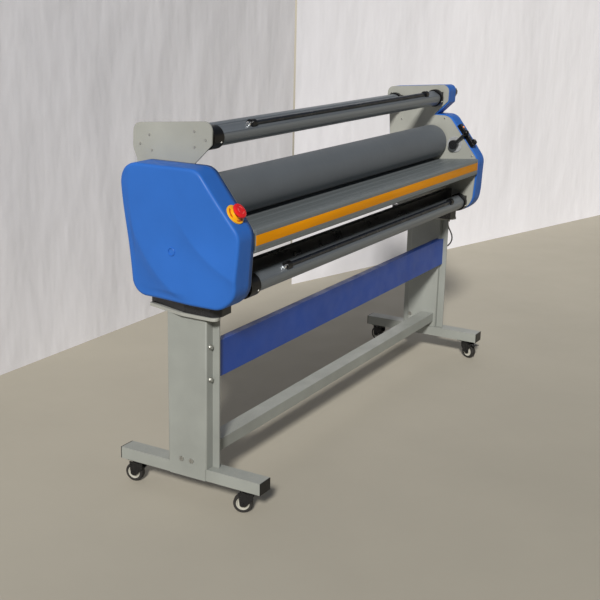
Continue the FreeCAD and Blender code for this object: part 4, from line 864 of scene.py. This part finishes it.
def build_wheels():
    """Off-white moulded discs with a deep hub in dark rubber tyres."""
    for name, (foot, swivel) in CASTERS.items():
        place = (Matrix.Translation(foot) @ Matrix.Rotation(swivel, 4, "Z")
                 @ facing_x(0, CASTER_TRAIL, WHEEL_RADIUS))
        tyre = add_piece(f"{name}_tyre", lathe_ring(f"{name}_tyre_turned", TREAD, place),
                         f"{name}_wheel", TYRE)
        disc = add_piece(f"{name}_wheel_disc", lathe_ring(f"{name}_disc_turned", DISC_PROFILE, place),
                         f"{name}_wheel", DISC_WHITE)
        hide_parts(f"{name}_caster_wheel")
        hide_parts(f"{name}_caster_wheel")


def lathe_ring(name, profile, matrix, steps=56):
    """Turned ring: the profile is a closed outline that doesn't reach the axis."""
    rings = [[Vector((radius * math.cos(turn), radius * math.sin(turn), height))
              for radius, height in profile]
             for turn in (2 * math.pi * i / steps for i in range(steps))]
    bm = bmesh.new()
    rows = [[bm.verts.new(point) for point in ring] for ring in rings]
    for k, row in enumerate(rows):
        following = rows[(k + 1) % steps]
        for i in range(len(row)):
            j = (i + 1) % len(row)
            bm.faces.new((row[i], row[j], following[j], following[i]))
    bmesh.ops.recalc_face_normals(bm, faces=bm.faces)
    mesh = bpy.data.meshes.new(name)
    bm.to_mesh(mesh)
    bm.free()
    mesh.transform(matrix)
    return mesh


# ---------------------------------------------------------------- cable

CABLE_X = 0.937
CABLE_ROUTE = [(-0.088, 0.612), (-0.088, 0.590), (-0.104, 0.566), (-0.114, 0.540),
               (-0.106, 0.512), (-0.086, 0.494), (-0.060, 0.487)]
CABLE_DIAMETER = 0.006


def build_cable():
    """Short lead that loops from under the right cabinet into the right leg."""
    curve = bpy.data.curves.new("power_lead_line", "CURVE")
    curve.dimensions = "3D"
    spline = curve.splines.new("NURBS")
    spline.points.add(len(CABLE_ROUTE) - 1)
    for point, (y, z) in zip(spline.points, CABLE_ROUTE):
        point.co = (CABLE_X, y, z, 1)
    spline.order_u = 3
    spline.use_endpoint_u = True
    spline.resolution_u = 16
    curve.bevel_depth = CABLE_DIAMETER / 2
    curve.bevel_resolution = 6
    curve.use_fill_caps = True
    curve.materials.append(CABLE_JACKET)
    lead = bpy.data.objects.new("power_lead", curve)
    bpy.context.scene.collection.objects.link(lead)
    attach(lead, "machine_frame")
    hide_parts("power_cable")


# ---------------------------------------------------------------- small trim

def pan_screw(name, place, radius=0.0042):
    """Pan head screw, head up along the place's +Z, with painted shade: two dark bars on the head stand
    in for the shade in its cross recess.
    """
    head = lathe(name, [(0, -0.001), (radius, -0.001), (radius, 0.0006), (radius * 0.9, 0.0014),
                        (radius * 0.6, 0.0020), (0, 0.0022)], place, 24)
    # Painted shade: dark bars laid on the head stand in for the shaded cross recess, which is not cut.
    recess = []
    for turn in (0, math.pi / 2):
        slot = Matrix.Rotation(turn, 4, "Z")
        recess.append(rounded_box((-radius * 0.55, -0.0004, 0.0020), (radius * 0.55, 0.0004, 0.00235),
                                  0.0001, name + f"_recess_{turn:.0f}", place @ slot, 1))
    return head, recess


PLATE_INNER = 0.909
PLATE_SCREWS = [(-0.056, 1.072), (-0.192, 0.918), (0.150, 1.055), (0.205, 1.168)]
HOLDER_SCREW_TURN = math.radians(112)
HOLDER_SCREWS = (SHAFT_LEFT - 0.016, SHAFT_RIGHT + 0.012)


def build_screws():
    """Pan head screws on the plates' inner faces, and one that clamps each shaft holder."""
    places = [facing_x(sign * PLATE_INNER, *spot, -sign) for spot in PLATE_SCREWS for sign in (-1, 1)]
    for axis, _ in SHAFTS.values():
        for x in HOLDER_SCREWS:
            places.append(Matrix.Translation(axis) @ Matrix.Rotation(HOLDER_SCREW_TURN, 4, "X")
                          @ Matrix.Translation((x, 0, HOLDER_RADIUS)))
    heads = []
    recess_shades = []
    for index, place in enumerate(places):
        head, recess_shade_bars = pan_screw(f"screw_{index}", place)
        heads.append(head)
        recess_shades += recess_shade_bars
    add_piece("pan_head_screws", joined("pan_heads", heads), "machine_frame", ZINC)
    # The dark bars on the screw heads are painted shade in each cross recess, not black parts.
    add_piece("pan_screw_recess_shades", joined("pan_recess_shades", recess_shades), "machine_frame",
              BLACK_PLASTIC)


# ---------------------------------------------------------------- room, light and camera

FLOOR_REACH = 9
FLOOR_SIDES = 128
SWEEP_RADIUS = 4
SWEEP_STEPS = 24


def build_floor():
    """Plain pale floor that sweeps up into a low wall all round."""
    sweep = [(FLOOR_REACH + SWEEP_RADIUS * math.sin(turn), SWEEP_RADIUS * (1 - math.cos(turn)))
             for turn in (math.pi / 2 * i / SWEEP_STEPS for i in range(SWEEP_STEPS + 1))]
    rings = [[Vector((radius * math.cos(turn), radius * math.sin(turn), height))
              for turn in (2 * math.pi * i / FLOOR_SIDES for i in range(FLOOR_SIDES))]
             for radius, height in sweep]
    mesh = mesh_of("studio_floor", rings, close_ends=False)
    bm = bmesh.new()
    bm.from_mesh(mesh)
    bm.faces.new(bm.verts[:FLOOR_SIDES])
    bmesh.ops.recalc_face_normals(bm, faces=bm.faces)
    bm.to_mesh(mesh)
    bm.free()
    mesh.shade_smooth()
    floor = bpy.data.objects.new("studio_floor", mesh)
    bpy.context.scene.collection.objects.link(floor)
    surface = Surface("pale_floor", 0.8)
    clouds = surface.noise(1.3, 5)
    surface.colour(surface.ramp(clouds, shaded(FLOOR_PALE, 0.97), shaded(FLOOR_PALE, 1.03)))
    surface.rough(surface.ramp(surface.noise(6, 3), 0.75, 0.9))
    mesh.materials.append(surface.material)


CLOTH_TOP = 2.4
CLOTH_LINES = [
    ("left", Vector((-5.0, 1.34)), Vector((2.03, 1.36))),
    ("right", Vector((1.58, 1.088)), Vector((6.0, -0.20))),
]


def build_backdrop():
    """Two pale sheets that hang behind the machine, clear when seen from behind."""
    surface = Surface("pale_sheet", 0.8)
    fold_relief_and_shade = surface.noise(1, 4, (1.1, 1.1, 0.5))
    # Painted shade: the colour darkens where the fold relief sinks, in the fold hollows.
    surface.colour(surface.ramp(fold_relief_and_shade, shaded(CLOTH_PALE, 0.93), shaded(CLOTH_PALE, 1.03)))
    surface.bump(fold_relief_and_shade, 0.09, 0.5)
    surface.bump(surface.noise(1, 3, (5, 5, 1.6)), 0.02, 0.4)
    clear = surface.nodes.new("ShaderNodeBsdfTransparent")
    sides = surface.nodes.new("ShaderNodeMixShader")
    back = surface.nodes.new("ShaderNodeNewGeometry").outputs["Backfacing"]
    surface.links.new(back, sides.inputs[0])
    surface.links.new(surface.shader.outputs["BSDF"], sides.inputs[1])
    surface.links.new(clear.outputs["BSDF"], sides.inputs[2])
    surface.links.new(sides.outputs["Shader"], surface.nodes["Material Output"].inputs["Surface"])
    for name, start, end in CLOTH_LINES:
        mesh = bpy.data.meshes.new(f"{name}_sheet")
        corners = [(start.x, start.y, 0), (end.x, end.y, 0), (end.x, end.y, CLOTH_TOP),
                   (start.x, start.y, CLOTH_TOP)]
        mesh.from_pydata(corners, [], [(0, 1, 2, 3)])
        mesh.materials.append(surface.material)
        sheet = bpy.data.objects.new(f"{name}_sheet", mesh)
        bpy.context.scene.collection.objects.link(sheet)


SKY_COLOUR = (0.76, 0.87, 1.05, 1)
SKY_STRENGTH = 0.16
KEY_ENERGY = 3.8
KEY_SPREAD = math.radians(8)
KEY_COLOUR = (1.0, 0.975, 0.93)
KEY_HEADING = Vector((0.764, 0.344, -0.546))


def build_light():
    """Soft key light from the machine's left front and a weak, even surround."""
    world = bpy.data.worlds.new("studio")
    bpy.context.scene.world = world
    world.use_nodes = True
    background = world.node_tree.nodes["Background"]
    background.inputs["Color"].default_value = SKY_COLOUR
    background.inputs["Strength"].default_value = SKY_STRENGTH
    key = bpy.data.lights.new("key", "SUN")
    key.energy = KEY_ENERGY
    key.angle = KEY_SPREAD
    key.color = KEY_COLOUR
    key_object = bpy.data.objects.new("key", key)
    key_object.rotation_euler = KEY_HEADING.to_track_quat("-Z", "Y").to_euler()
    bpy.context.scene.collection.objects.link(key_object)
    bpy.context.scene.view_settings.view_transform = "Standard"


CAMERA_PLACE = Vector((-3.5938, -1.8894, 1.5839))
CAMERA_YAW = math.radians(60.557)
CAMERA_PITCH = math.radians(15.593)
CAMERA_ROLL = math.radians(1.27)
CAMERA_LENS = 65.506
CAMERA_SHIFT = -0.0025


def build_camera():
    """Camera near the machine's left front corner, looking down at it along its length."""
    camera = bpy.data.cameras.new("camera")
    camera.lens = CAMERA_LENS
    camera.shift_y = CAMERA_SHIFT
    camera.clip_end = 200
    holder = bpy.data.objects.new("camera", camera)
    bpy.context.scene.collection.objects.link(holder)
    level = Vector((math.sin(CAMERA_YAW), math.cos(CAMERA_YAW), 0))
    ahead = level * math.cos(CAMERA_PITCH) - Vector((0, 0, math.sin(CAMERA_PITCH)))
    right = Vector((math.cos(CAMERA_YAW), -math.sin(CAMERA_YAW), 0))
    upright = right.cross(ahead)
    rolled_right = right * math.cos(CAMERA_ROLL) + upright * math.sin(CAMERA_ROLL)
    rolled_up = upright * math.cos(CAMERA_ROLL) - right * math.sin(CAMERA_ROLL)
    turn = Matrix((rolled_right, rolled_up, -ahead)).transposed().to_4x4()
    holder.matrix_world = Matrix.Translation(CAMERA_PLACE) @ turn
    bpy.context.scene.camera = holder


build_camera()
build_light()
build_floor()
build_backdrop()
build_cable()
finish_frame()
build_covers()
build_table()
build_film_shafts()
build_stop_button()
build_control_strip()
build_tension_knob()
build_wheels()
build_screws()

bpy.context.view_layer.update()
